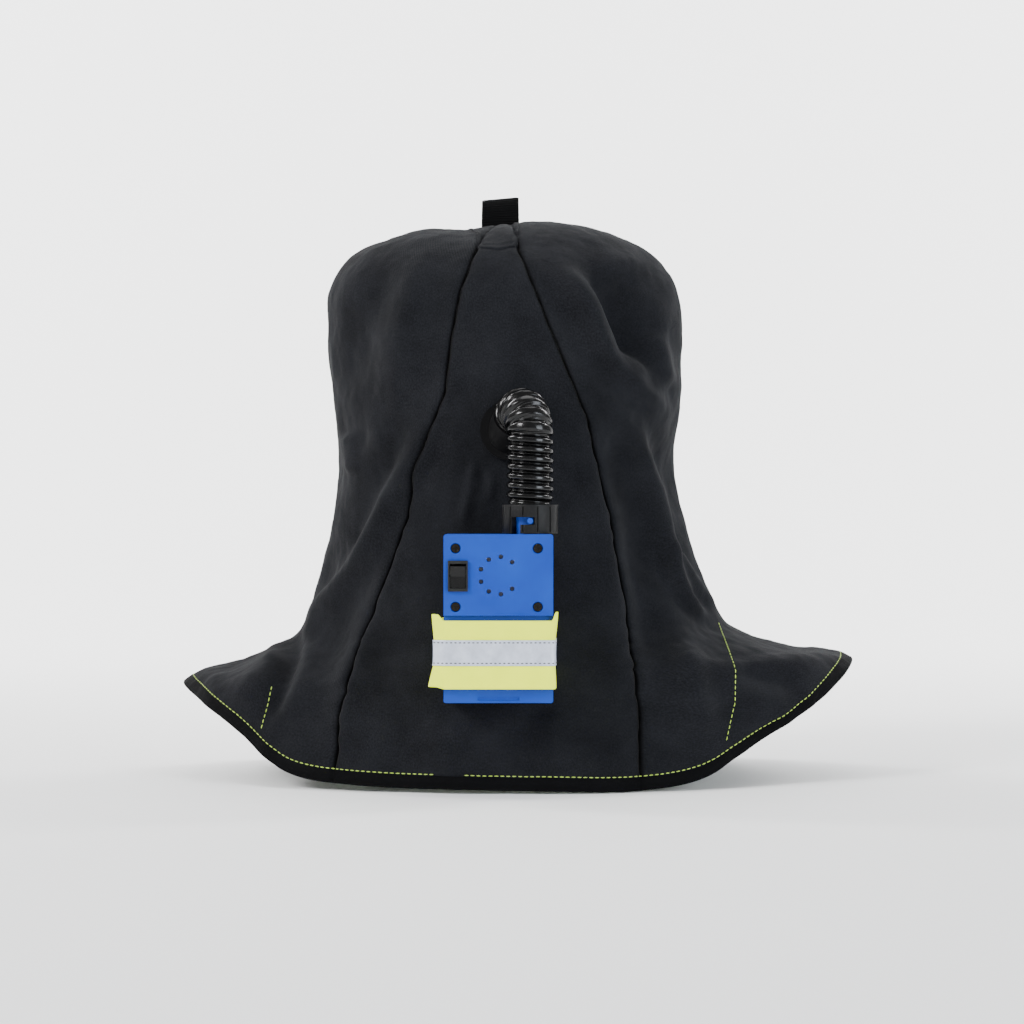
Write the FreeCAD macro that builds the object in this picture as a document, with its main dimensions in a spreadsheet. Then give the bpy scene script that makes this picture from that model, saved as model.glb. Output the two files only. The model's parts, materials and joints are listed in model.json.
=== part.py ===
import FreeCAD, Part
import math
import os
import re
import Sketcher
from FreeCAD import Placement, Rotation, Vector

# Powered air respirator: a flame-resistant fabric hood on a ratchet head harness, with a battery
# blower unit strapped to its back and a short hose that feeds air through the back of the hood.
# Millimetres.  +X is the wearer's right, +Y is where the wearer looks, +Z is up.
# The origin is the middle of the head at the height where the headband meets the forehead.

doc = FreeCAD.newDocument("PoweredAirRespirator")
sizes = doc.addObject("Spreadsheet::Sheet", "Sizes")

SIZES = {
    # fabric hood
    "fabric": 2.5,
    "hem_height": 9.0,
    "hem_proud": 0.8,
    "front_seam": 70.0,
    "crown_left": -20.0,
    "crown_right": 10.0,
    "crown_end": 108.0,
    "cape_seam_left": -172.0,
    "cape_seam_right": 160.0,
    "loop_middle": -3.5,
    "loop_width": 28.0,
    "loop_height": 20.0,
    "loop_depth": 14.0,
    "webbing": 2.0,
    # face window
    "window_left": -95.0,
    "window_right": 95.0,
    "window_bottom": -125.0,
    "window_top": 30.0,
    "window_corner": 22.0,
    "window_rim": 8.0,
    "lens_thick": 2.0,
    # blower unit
    "unit_middle": -4.0,
    "unit_width": 74.0,
    "unit_front": -151.0,
    "unit_back": -190.0,
    "unit_top": -95.0,
    "unit_bottom": -209.0,
    "unit_wall": 2.0,
    "unit_corner": 2.0,
    "cover_joint": -178.0,
    "cover_split": -150.0,
    "battery_cover_back": -187.0,
    "fan_x": -3.7,
    "fan_z": -122.8,
    "intake_ring": 12.7,
    "intake_hole": 1.6,
    "screw_left": -32.9,
    "screw_right": 22.6,
    "screw_high": -104.5,
    "screw_low": -144.0,
    "screw_head": 2.9,
    "screw_recess": 3.5,
    "screw_shank": 1.4,
    "boss": 3.4,
    # rocker switch
    "switch_x": -31.3,
    "switch_z": -123.2,
    "bezel_width": 13.6,
    "bezel_height": 20.9,
    "bezel_thick": 2.0,
    "rocker_width": 10.4,
    "rocker_height": 14.8,
    "rocker_pivot": -188.4,
    # blower
    "scroll_radius": 19.0,
    "scroll_front": -160.0,
    "scroll_back": -180.0,
    "scroll_wall": 1.5,
    "impeller_radius": 15.0,
    "impeller_depth": 9.0,
    "shaft_radius": 1.0,
    "motor_radius": 9.0,
    # outlet, collar and hose
    "outlet_x": 17.5,
    "outlet_y": -170.0,
    "spigot_radius": 13.7,
    "spigot_bore": 11.5,
    "collar_radius": 19.0,
    "collar_bore": 14.3,
    "collar_top": -75.0,
    "hose_radius": 16.0,
    "hose_bore": 12.5,
    "hose_bend": 18.0,
    "hose_rise": 35.0,
    "port_x": 4.0,
    "port_y": -131.0,
    "port_z": -23.0,
    "flange_radius": 21.0,
    "flange_thick": 4.0,
    "elbow_bore": 10.0,
    "port_ring_radius": 18.0,
    "port_ring_thick": 6.0,
    # battery
    "cell_radius": 9.0,
    "cell_length": 65.0,
    "cell_pitch": 18.7,
    "cell_y": -167.0,
    "cell_z": -178.5,
    # strap round the unit
    "strap_top": -153.0,
    "strap_bottom": -200.0,
    "strap_thick": 1.6,
    "strap_gap": 2.0,
    "tape_top": -166.0,
    "tape_bottom": -184.5,
    "tape_thick": 0.5,
    # head harness
    "cap_half_width": 104.0,
    "cap_half_depth": 108.0,
    "cap_height": 112.0,
    "cap_wall": 3.0,
    "duct_width": 40.0,
    "duct_depth": 14.0,
    "duct_wall": 1.2,
    "nozzle_half_width": 40.0,
    "nozzle_back": 98.0,
    "nozzle_front": 116.0,
    "nozzle_bottom": 34.0,
    "nozzle_top": 48.0,
    "nozzle_wall": 2.0,
    "strap_width": 20.0,
    "strap_webbing": 1.5,
    "band_half_width": 82.0,
    "band_half_depth": 100.0,
    "band_thick": 2.0,
    "band_height": 25.0,
    "band_tilt": 18.5,
    "band_z": -28.0,
    "nape_y": -99.0,
    "nape_z": -62.0,
    "knob_radius": 15.0,
    "knob_depth": 11.0,
    "pinion_radius": 4.2,
    "rack_offset": 4.6,
    "rack_height": 5.0,
    "rack_length": 46.0,
}

# The hood's outline by height: height, half width left and right, depth back and front, and how
# pointed the section's two ends are (1 is an ellipse, more is a lens).
HOOD_LEVELS = [
    (133, 45, 62, 45, 60, 1.0),
    (124, 77, 83, 75, 80, 1.0),
    (106, 116, 113, 100, 102, 1.0),
    (88, 129, 124, 115, 118, 1.0),
    (52, 130, 130, 127, 130, 1.0),
    (0, 128, 131, 132, 140, 1.0),
    (-46, 122, 123, 129, 147, 1.0),
    (-90, 127, 135, 132, 152, 1.0),
    (-144, 142, 154, 139, 158, 1.05),
    (-171, 158, 186, 143, 161, 1.15),
    (-189, 194, 248, 146, 164, 1.25),
    (-207, 236, 262, 149, 166, 1.3),
    (-245, 250, 266, 154, 170, 1.3),
    (-290, 254, 268, 160, 176, 1.3),
]
SECTION_POINTS = 28

# The hem's lower edge and the two long back seams, as (x, z) from left to right or top to bottom.
HEM_LINE = [
    (-238, -207), (-211, -221), (-189, -236), (-173, -250), (-150, -262), (-100, -268),
    (100, -268), (134, -264), (164, -251), (203, -228), (228, -214), (248, -197), (258, -187),
]
LEFT_SEAM = [
    (-20, 108), (-31, 76), (-42, 4), (-65, -55), (-81, -113), (-101, -176), (-115, -238), (-124, -290),
]
RIGHT_SEAM = [
    (10, 108), (24, 70), (40, 29), (59, -17), (70, -61), (78, -104), (86, -151), (91, -219), (95, -290),
]
REACH = 320.0
PORT_BORE = 12

nodes = []


def fill_sheet():
    """Put every driving dimension in the sheet, one row each."""
    for row, (name, value) in enumerate(SIZES.items(), start=1):
        sizes.set(f"A{row}", name)
        sizes.set(f"B{row}", str(value))
        sizes.setAlias(f"B{row}", name)
    doc.recompute()


def cells(formula):
    """Point each cell name in a formula at the sheet."""
    def point(word):
        return "Sizes." + word.group() if word.group() in SIZES else word.group()
    return re.sub(r"[a-z_]+", point, formula)


def bind(item, **formulas):
    """Bind an object's properties to formulas of the sheet's cells."""
    for name, formula in formulas.items():
        item.setExpression(name, cells(formula))
    return item


def locate(item, x="0", y="0", z="0", axis=None, angle=0):
    """Place an object at formulas of the sheet's cells, turned about one axis."""
    if axis:
        item.Placement = Placement(Vector(), Rotation(Vector(*axis), angle))
    for letter, formula in zip("xyz", (x, y, z)):
        item.setExpression(f".Placement.Base.{letter}", cells(formula))
    return item


def node(item, label):
    """Name a finished sub-part and keep it for the export."""
    item.Label = label
    nodes.append(item)
    return item


def block(name, x, y, z):
    """A box between a pair of formulas on each axis."""
    box = doc.addObject("Part::Box", name)
    bind(box, Length=f"({x[1]}) - ({x[0]})", Width=f"({y[1]}) - ({y[0]})", Height=f"({z[1]}) - ({z[0]})")
    return locate(box, x[0], y[0], z[0])


TURNS = {"x": ((0, 1, 0), 90), "y": ((1, 0, 0), -90), "z": ((0, 0, 1), 0)}


def rod(name, axis, radius, span, x="0", y="0", z="0"):
    """A cylinder along one axis, between the pair of formulas in span."""
    cylinder = doc.addObject("Part::Cylinder", name)
    bind(cylinder, Radius=radius, Height=f"({span[1]}) - ({span[0]})")
    place = {"x": x, "y": y, "z": z}
    place[axis] = span[0]
    return locate(cylinder, place["x"], place["y"], place["z"], *TURNS[axis])


def join(name, *items):
    """One solid out of several that touch."""
    fuse = doc.addObject("Part::MultiFuse", name)
    fuse.Shapes = list(items)
    return fuse


def cut(name, base, *tools):
    """A solid with others taken out of it."""
    result = doc.addObject("Part::Cut", name)
    result.Base = base
    result.Tool = tools[0] if len(tools) == 1 else join(name + "_voids", *tools)
    return result


def common(name, first, second):
    """What two solids share."""
    result = doc.addObject("Part::MultiCommon", name)
    result.Shapes = [first, second]
    return result


def group(name, items):
    """Like pieces that stay separate solids of one node."""
    compound = doc.addObject("Part::Compound", name)
    compound.Links = list(items)
    return compound


def tube(name, axis, radius, bore, span, **place):
    """A ring or sleeve."""
    outside = rod(name + "_outside", axis, radius, span, **place)
    inside = rod(name + "_inside", axis, bore, (f"{span[0]} - 1", f"{span[1]} + 1"), **place)
    return cut(name, outside, inside)


def rounded(name, base, radius, along):
    """Round a box's four edges that run along one axis."""
    doc.recompute()
    direction = {"x": Vector(1, 0, 0), "y": Vector(0, 1, 0), "z": Vector(0, 0, 1)}[along]
    edges = []
    for number, edge in enumerate(base.Shape.Edges, start=1):
        if edge.tangentAt(edge.FirstParameter).cross(direction).Length < 1e-6:
            edges.append((number, radius, radius))
    fillet = doc.addObject("Part::Fillet", name)
    fillet.Base = base
    fillet.Edges = edges
    return fillet


def fixed(name, shape):
    """A finished shape as a document object."""
    feature = doc.addObject("Part::Feature", name)
    feature.Shape = shape
    return feature


# ---------------------------------------------------------------- PartDesign helpers

def new_body(name, x="0", y="0", z="0"):
    """A body placed at formulas of the sheet's cells."""
    return locate(doc.addObject("PartDesign::Body", name), x, y, z)


def sketch_on(body, role, name):
    """A sketch on one of the body's own origin planes."""
    sketch = body.newObject("Sketcher::SketchObject", name)
    plane = next(item for item in body.Origin.OriginFeatures if item.Role == role)
    sketch.AttachmentSupport = [(plane, "")]
    sketch.MapMode = "FlatFace"
    return sketch


def measure(sketch, kind, where, value, formula):
    """A dimension of a sketch, bound to the sheet."""
    index = sketch.addConstraint(Sketcher.Constraint(kind, *where, value))
    sketch.setExpression(f"Constraints[{index}]", cells(formula))


def circle(sketch, radius, x=None):
    """A circle round the sketch's origin, or on its horizontal axis at x."""
    shape = sketch.addGeometry(Part.Circle(Vector(5 if x else 0, 0, 0), Vector(0, 0, 1), 2), False)
    measure(sketch, "Radius", (shape,), 2, radius)
    if x is None:
        sketch.addConstraint(Sketcher.Constraint("Coincident", shape, 3, -1, 1))
    else:
        sketch.addConstraint(Sketcher.Constraint("PointOnObject", shape, 3, -1))
        measure(sketch, "DistanceX", (-1, 1, shape, 3), 5, x)


def rectangle(sketch, low, high, width):
    """A rectangle on both sides of the vertical axis, from low to high."""
    corners = [Vector(-1, 2, 0), Vector(1, 2, 0), Vector(1, 5, 0), Vector(-1, 5, 0)]
    for number in range(4):
        sketch.addGeometry(Part.LineSegment(corners[number], corners[(number + 1) % 4]), False)
    for number in range(4):
        sketch.addConstraint(Sketcher.Constraint("Coincident", number, 2, (number + 1) % 4, 1))
    sketch.addConstraint(Sketcher.Constraint("Horizontal", 2))
    sketch.addConstraint(Sketcher.Constraint("Vertical", 1))
    sketch.addConstraint(Sketcher.Constraint("Vertical", 3))
    sketch.addConstraint(Sketcher.Constraint("Symmetric", 0, 1, 0, 2, -2))
    measure(sketch, "DistanceX", (0, 1, 0, 2), 2, width)
    measure(sketch, "DistanceY", (-1, 1, 0, 1), 2, low)
    measure(sketch, "DistanceY", (-1, 1, 2, 1), 5, high)


def pad(body, sketch, name, length, reverse=False):
    """Push a sketch out into a solid."""
    feature = body.newObject("PartDesign::Pad", name)
    feature.Profile = sketch
    feature.Reversed = reverse
    return bind(feature, Length=length)


def pocket(body, sketch, name, length, reverse=False):
    """Sink a sketch into the solid."""
    feature = body.newObject("PartDesign::Pocket", name)
    feature.Profile = sketch
    feature.Reversed = reverse
    return bind(feature, Length=length)


def polar(body, feature, name, count, role="Y_Axis"):
    """Repeat a feature round one of the body's axes."""
    pattern = body.newObject("PartDesign::PolarPattern", name)
    pattern.Originals = [feature]
    axis = next(item for item in body.Origin.OriginFeatures if item.Role == role)
    pattern.Axis = (axis, [""])
    pattern.Angle = 360
    pattern.Occurrences = count
    body.Tip = pattern
    return pattern


# ---------------------------------------------------------------- the fabric hood

def hood_section(level, offset):
    """One closed section of the hood, grown or shrunk by offset."""
    height, left, right, back, front, point = level
    points = []
    for step in range(SECTION_POINTS):
        angle = 2 * math.pi * step / SECTION_POINTS
        across, along = math.cos(angle), math.sin(angle)
        half_width = (right if across > 0 else left) + offset
        depth = (front if along > 0 else back) + offset
        points.append(Vector(half_width * across, depth * math.copysign(abs(along) ** point, along),
                             height))
    curve = Part.BSplineCurve()
    curve.interpolate(points, PeriodicFlag=True)
    return Part.Wire(curve.toShape())


def hood_solid(offset):
    """The whole hood as one filled form, its surface moved out by offset."""
    top, *middle, bottom = HOOD_LEVELS
    top = (top[0] + offset, *top[1:])
    bottom = (bottom[0] + offset, *bottom[1:])
    wires = [hood_section(level, offset) for level in (top, *middle, bottom)]
    return Part.makeLoft(wires, True, True)


def prism(outline, back=-REACH, front=REACH):
    """An (x, z) outline pushed along Y."""
    corners = [Vector(x, back, z) for x, z in outline]
    face = Part.Face(Part.makePolygon(corners + corners[:1]))
    return face.extrude(Vector(0, front - back, 0))


def above_hem(rise):
    """Everything above the hem line, raised by rise."""
    line = [(x, z + rise) for x, z in HEM_LINE]
    ends = [(REACH, line[-1][1]), (REACH, REACH), (-REACH, REACH), (-REACH, line[0][1])]
    return prism(line + ends)


def window_hole(name, grow):
    """The window's opening, grown on every side, as a rounded bar along Y."""
    box = block(
        name + "_box",
        (f"window_left - {grow}", f"window_right + {grow}"),
        ("20", "220"),
        (f"window_bottom - {grow}", f"window_top + {grow}"),
    )
    return rounded(name, box, SIZES["window_corner"], "y")


def make_hood():
    """Fabric panels split along their real seams, the binding, the loop and the window."""
    outer = hood_solid(0)
    shell = outer.cut(hood_solid(-SIZES["fabric"]))
    cloth = shell.common(above_hem(SIZES["hem_height"]))
    front_y = SIZES["front_seam"]
    back_half = prism([(-REACH, -REACH), (REACH, -REACH), (REACH, REACH), (-REACH, REACH)], -REACH, front_y)
    left_x, right_x = SIZES["cape_seam_left"], SIZES["cape_seam_right"]
    left_wing = prism([(-REACH, -REACH), (left_x, -REACH), (left_x, REACH), (-REACH, REACH)])
    right_wing = prism([(right_x, -REACH), (REACH, -REACH), (REACH, REACH), (right_x, REACH)])
    centre = cloth.cut(left_wing).cut(right_wing)
    rear = centre.common(back_half)
    back_gore = prism(LEFT_SEAM + RIGHT_SEAM[::-1], -REACH, 0)
    crown_x, crown_end = (SIZES["crown_left"], SIZES["crown_right"]), SIZES["crown_end"]
    crown_strip = prism(
        [(crown_x[0], crown_end), (crown_x[1], crown_end), (crown_x[1], REACH), (crown_x[0], REACH)],
        -REACH, front_y,
    )
    sides = rear.cut(back_gore).cut(crown_strip)
    middle_x = (crown_x[0] + crown_x[1]) / 2
    left_half = prism([(-REACH, -REACH), (middle_x, -REACH), (middle_x, REACH), (-REACH, REACH)])
    opening = window_hole("window_rim_bar", "window_rim")
    glazing = window_hole("window_glass_bar", "0")
    doc.recompute()
    rim_bar, glass_bar = opening.Shape, glazing.Shape
    lens_deep = 1.0
    lens = hood_solid(-lens_deep).cut(hood_solid(-lens_deep - SIZES["lens_thick"])).common(glass_bar)
    rim_ring = rim_bar.cut(glass_bar)
    rim_inside = hood_solid(-SIZES["fabric"] - SIZES["lens_thick"])
    rim = hood_solid(SIZES["fabric"]).cut(rim_inside).common(rim_ring)
    proud = SIZES["hem_proud"]
    binding = hood_solid(proud).cut(hood_solid(-SIZES["fabric"] - proud))
    binding = binding.common(above_hem(0)).cut(above_hem(SIZES["hem_height"]))
    port = Vector(SIZES["port_x"], SIZES["port_y"] - 20, SIZES["port_z"])
    port_hole = Part.makeCylinder(PORT_BORE, 40, port, Vector(0, 1, 0))
    node(fixed("HoodBack", rear.common(back_gore).cut(port_hole)), "hood_back_panel")
    node(fixed("HoodCrown", rear.common(crown_strip)), "hood_crown_panel")
    node(fixed("HoodLeft", sides.common(left_half)), "hood_left_panel")
    node(fixed("HoodRight", sides.cut(left_half)), "hood_right_panel")
    node(fixed("HoodFront", centre.cut(back_half).cut(rim_bar)), "hood_front_panel")
    node(fixed("CapeLeft", cloth.common(left_wing)), "cape_left_wing")
    node(fixed("CapeRight", cloth.common(right_wing)), "cape_right_wing")
    node(fixed("HemBinding", binding), "hem_binding")
    node(fixed("WindowFrame", rim), "window_frame")
    node(fixed("WindowLens", lens), "window_lens")
    return outer


LOOP_X = ("loop_middle - loop_width / 2", "loop_middle + loop_width / 2")
LOOP_Y = ("-loop_depth / 2", "loop_depth / 2")


def make_loop():
    """A webbing loop on the crown: two legs and a round top, open from side to side."""
    crown_top = str(HOOD_LEVELS[0][0])
    outside = join(
        "LoopOutside",
        block("LoopLegs", LOOP_X, LOOP_Y, (crown_top, f"{crown_top} + loop_height - loop_depth / 2")),
        rod("LoopTop", "x", "loop_depth / 2", LOOP_X, z=f"{crown_top} + loop_height - loop_depth / 2"),
    )
    gap_x = (f"{LOOP_X[0]} - 1", f"{LOOP_X[1]} + 1")
    gap_y = (f"{LOOP_Y[0]} + webbing", f"{LOOP_Y[1]} - webbing")
    inside = join(
        "LoopInside",
        block("LoopGap", gap_x, gap_y, (f"{crown_top} - 1", f"{crown_top} + loop_height - loop_depth / 2")),
        rod("LoopGapTop", "x", "loop_depth / 2 - webbing", gap_x,
            z=f"{crown_top} + loop_height - loop_depth / 2"),
    )
    node(cut("HangingLoop", outside, inside), "hanging_loop")


# ---------------------------------------------------------------- the blower unit

UNIT_LEFT = "unit_middle - unit_width / 2"
UNIT_RIGHT = "unit_middle + unit_width / 2"
UNIT_X = (UNIT_LEFT, UNIT_RIGHT)
INNER_X = (f"{UNIT_LEFT} + unit_wall", f"{UNIT_RIGHT} - unit_wall")
SCREWS = [(x, z) for x in ("screw_left", "screw_right") for z in ("screw_high", "screw_low")]


def make_unit_base():
    """Front tray of the unit: floor towards the hood, four walls, a divider and four screw bosses."""
    outside = rounded(
        "BaseBlock",
        block("BaseBox", UNIT_X, ("cover_joint", "unit_front"), ("unit_bottom", "unit_top")),
        SIZES["unit_corner"], "y",
    )
    inside_y = ("cover_joint - 1", "unit_front - unit_wall")
    fan_room = block("BaseFanRoom", INNER_X, inside_y, ("cover_split + unit_wall", "unit_top - unit_wall"))
    cell_room = block("BaseCellRoom", INNER_X, inside_y, ("unit_bottom + unit_wall", "cover_split"))
    outlet = rod("BaseOutlet", "z", "spigot_radius", ("unit_top - 4", "unit_top + 1"), x="outlet_x",
                 y="outlet_y")
    jack = rod("BaseJackHole", "z", "3.5", ("unit_top - 4", "unit_top + 1"), x=JACK_X, y=JACK_Y)
    lead_hole = block("BaseLeadHole", ("-12", "4"), ("unit_front - 8", "unit_front - 3.9"),
                      ("cover_split - 1", "cover_split + 3"))
    hollow = cut("BaseHollow", outside, fan_room, cell_room, outlet, jack, lead_hole)
    bosses = []
    for number, (x, z) in enumerate(SCREWS):
        bosses.append(rod(f"BaseBoss{number}", "y", "boss", ("cover_joint", "unit_front - 1"), x=x, z=z))
    bores = []
    for number, (x, z) in enumerate(SCREWS):
        bores.append(rod(f"BaseBore{number}", "y", "screw_shank", ("cover_joint - 1", "unit_front - 5"),
                         x=x, z=z))
    node(cut("UnitBase", join("BaseWithBosses", hollow, *bosses), *bores), "unit_base")


JACK_X = "-22"
JACK_Y = "-160"


def make_fan_cover():
    """Upper back cover with its ring of intake holes, screw recesses and switch window."""
    outside = rounded(
        "CoverBlock",
        block("CoverBox", UNIT_X, ("unit_back", "cover_joint"), ("cover_split", "unit_top")),
        SIZES["unit_corner"], "y",
    )
    square = block("CoverSquare", UNIT_X, ("unit_back", "cover_joint"), ("cover_split", "cover_split + 8"))
    room = block("CoverRoom", INNER_X, ("unit_back + unit_wall", "cover_joint + 1"),
                 ("cover_split + unit_wall", "unit_top - unit_wall"))
    collar_room = rod("CoverCollarRoom", "z", "spigot_radius", ("unit_top - 4", "unit_top + 1"),
                      x="outlet_x", y="outlet_y")
    voids = [room, collar_room]
    for number in range(8):
        turn = 45 + number * 360 / 9.33
        hole_x = f"fan_x + intake_ring * cos({turn:.1f}deg)"
        hole_z = f"fan_z + intake_ring * sin({turn:.1f}deg)"
        voids.append(rod(f"CoverHole{number}", "y", "intake_hole", ("unit_back - 1", "cover_joint"),
                         x=hole_x, z=hole_z))
    voids.append(block("CoverSwitchWindow", SWITCH_X, ("unit_back - 1", "cover_joint"), SWITCH_Z))
    shell = cut("CoverShell", join("CoverOutside", outside, square), *voids)
    posts = []
    bores = []
    for number, (x, z) in enumerate(SCREWS):
        posts.append(rod(f"CoverPost{number}", "y", "boss + 1", ("unit_back", "cover_joint"), x=x, z=z))
        bores.append(rod(f"CoverBore{number}", "y", "screw_shank + 0.2",
                         ("unit_back - 1", "cover_joint + 1"),
                         x=x, z=z))
        bores.append(rod(f"CoverRecess{number}", "y", "screw_recess", ("unit_back - 1", "unit_back + 3.5"),
                         x=x, z=z))
    node(cut("FanCover", join("CoverWithPosts", shell, *posts), *bores), "fan_cover")


SWITCH_X = ("switch_x - bezel_width / 2 + 0.5", "switch_x + bezel_width / 2 - 0.5")
SWITCH_Z = ("switch_z - bezel_height / 2 + 1", "switch_z + bezel_height / 2 - 1")


def make_battery_cover():
    """Lower back cover: a shallow tray that slides down off the cells."""
    lower = ("unit_bottom", "cover_split - 0.3")
    outside = block("BatteryCoverBox", UNIT_X, ("battery_cover_back", "cover_joint - 0.3"), lower)
    room = block("BatteryCoverRoom", INNER_X, ("battery_cover_back + unit_wall", "cover_joint + 1"),
                 ("unit_bottom + unit_wall", "cover_split + 1"))
    grip = block("BatteryCoverGrip", ("unit_middle - 14", "unit_middle + 14"),
                 ("battery_cover_back - 1", "battery_cover_back + 1"),
                 ("unit_bottom + 1.5", "unit_bottom + 4"))
    node(cut("BatteryCover", rounded("BatteryCoverBlock", outside, 1.5, "y"), room, grip), "battery_cover")


def make_screws():
    """Four pan-head screws that hold the fan cover."""
    screws = []
    for number, (x, z) in enumerate(SCREWS):
        head = rod(f"ScrewHead{number}", "y", "screw_head", ("unit_back + 1.3", "unit_back + 3.5"), x=x,
                   z=z)
        shank = rod(f"ScrewShank{number}", "y", "screw_shank", ("unit_back + 3.5", "unit_front - 7"), x=x,
                    z=z)
        slot = block(f"ScrewSlot{number}", (f"{x} - 2", f"{x} + 2"), ("unit_back + 1", "unit_back + 2.2"),
                     (f"{z} - 0.4", f"{z} + 0.4"))
        cross = block(f"ScrewCross{number}", (f"{x} - 0.4", f"{x} + 0.4"),
                      ("unit_back + 1", "unit_back + 2.2"),
                      (f"{z} - 2", f"{z} + 2"))
        screws.append(cut(f"Screw{number}", join(f"ScrewBlank{number}", head, shank), slot, cross))
    node(group("CoverScrews", screws), "cover_screws")


def make_switch():
    """Snap-in rocker switch: the body with its bezel, and the rocker on two stub pins."""
    bezel = block("SwitchBezel", ("switch_x - bezel_width / 2", "switch_x + bezel_width / 2"),
                  ("unit_back - bezel_thick", "unit_back"),
                  ("switch_z - bezel_height / 2", "switch_z + bezel_height / 2"))
    case = block("SwitchCase", (f"{SWITCH_X[0]} + 0.1", f"{SWITCH_X[1]} - 0.1"),
                 ("unit_back", "unit_back + 15"),
                 (f"{SWITCH_Z[0]} + 0.1", f"{SWITCH_Z[1]} - 0.1"))
    well = block("SwitchWell", ("switch_x - rocker_width / 2 - 0.4", "switch_x + rocker_width / 2 + 0.4"),
                 ("unit_back - bezel_thick - 1", "unit_back + 9"),
                 ("switch_z - rocker_height / 2 - 0.8", "switch_z + rocker_height / 2 + 0.8"))
    pin_hole = rod("SwitchPinHole", "x", "1.2", SWITCH_X, y="rocker_pivot", z="switch_z")
    node(cut("SwitchBody", join("SwitchBlank", bezel, case), well, pin_hole), "switch_body")

    half = SIZES["rocker_height"] / 2
    outline = [(-3.2, -half), (-2.0, 0), (-3.2, half), (0.5, half - 0.4), (3.5, 2.2), (3.5, -2.2),
               (0.5, 0.4 - half)]
    width = SIZES["rocker_width"]
    corners = [Vector(-width / 2, y, z) for y, z in outline]
    key = Part.Face(Part.makePolygon(corners + corners[:1])).extrude(Vector(width, 0, 0))
    pins = Part.makeCylinder(0.9, width + 1.4, Vector(-width / 2 - 0.7, 0, 0), Vector(1, 0, 0))
    rocker = fixed("Rocker", key.fuse(pins).removeSplitter())
    pivot = Vector(SIZES["switch_x"], SIZES["rocker_pivot"], SIZES["switch_z"])
    rocker.Placement = Placement(pivot, Rotation(Vector(1, 0, 0), ROCKER_LEAN))
    node(rocker, "switch_rocker")


ROCKER_LEAN = 11


def make_blower():
    """Scroll housing with its outlet duct, impeller, shaft, bearings, motor and intake filter."""
    scroll_y = ("scroll_back", "scroll_front")
    drum = rod("ScrollDrum", "y", "scroll_radius", scroll_y, x="fan_x", z="fan_z")
    duct_x = ("outlet_x - spigot_radius + 1", "outlet_x + spigot_radius - 1")
    duct = block("ScrollDuct", duct_x, scroll_y, ("fan_z", "unit_top - 3"))
    inner_y = ("scroll_back + scroll_wall", "scroll_front - scroll_wall")
    drum_room = rod("ScrollRoom", "y", "scroll_radius - scroll_wall", inner_y, x="fan_x", z="fan_z")
    duct_room = block("ScrollDuctRoom", (f"{duct_x[0]} + scroll_wall", f"{duct_x[1]} - scroll_wall"),
                      inner_y,
                      ("fan_z + scroll_wall", "unit_top"))
    boss_sleeve = rod("ScrollBossSleeve", "y", "boss + 1.3 + scroll_wall", scroll_y, x="screw_right",
                      z="screw_high")
    boss_notch = rod("ScrollBossNotch", "y", "boss + 1.3", ("scroll_back - 1", "scroll_front + 1"),
                     x="screw_right", z="screw_high")
    duct_room = cut("ScrollDuctRoomRoundBoss", duct_room, boss_sleeve)
    eye = rod("ScrollEye", "y", "impeller_radius - 1", ("scroll_back - 1", "scroll_front - 5"),
              x="fan_x", z="fan_z")
    shaft_hole = rod("ScrollShaftHole", "y", "3.2", ("scroll_front - 5", "scroll_front + 1"), x="fan_x",
                     z="fan_z")
    node(cut("Scroll", join("ScrollOutside", drum, duct), drum_room, duct_room, eye, shaft_hole,
             boss_notch),
         "blower_scroll")

    body = new_body("Impeller", "fan_x", "scroll_front - scroll_wall - 1.5", "fan_z")
    disc = sketch_on(body, "XZ_Plane", "ImpellerDisc")
    circle(disc, "impeller_radius")
    pad(body, disc, "ImpellerPlate", "1.5")
    hub = sketch_on(body, "XZ_Plane", "ImpellerHubRing")
    circle(hub, "3.5")
    pad(body, hub, "ImpellerHub", "impeller_depth")
    blade = sketch_on(body, "XZ_Plane", "ImpellerBladeShape")
    rectangle(blade, "impeller_radius - 5", "impeller_radius - 0.5", "1")
    blade_pad = pad(body, blade, "ImpellerBlade", "impeller_depth")
    doc.recompute()
    polar(body, blade_pad, "ImpellerBlades", 18)
    bore = sketch_on(body, "XZ_Plane", "ImpellerBore")
    circle(bore, "shaft_radius + 0.02")
    body.Tip = pocket(body, bore, "ImpellerShaftBore", "impeller_depth + 2", reverse=True)
    node(body, "impeller")

    node(rod("Shaft", "y", "shaft_radius", ("scroll_front - scroll_wall - 10", "unit_front - 4.8"),
             x="fan_x", z="fan_z"), "rotor_shaft")
    node(tube("Motor", "y", "motor_radius", "shaft_radius + 0.3", ("scroll_front", "unit_front - 4.6"),
              x="fan_x", z="fan_z"), "motor")
    node(tube("Bearing", "y", "3.2", "shaft_radius + 0.03", ("scroll_front - scroll_wall", "scroll_front"),
              x="fan_x", z="fan_z"), "shaft_bearing")
    node(rod("Filter", "y", "impeller_radius + 2", ("scroll_back - 4", "scroll_back"), x="fan_x",
             z="fan_z"),
         "intake_filter")
    node(block("Board", (f"{INNER_X[0]} + 5", f"{INNER_X[1]} - 5"), ("unit_front - 4", "unit_front - 2.4"),
               ("cover_split + 10.5", "unit_top - 14")), "circuit_board")


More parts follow.
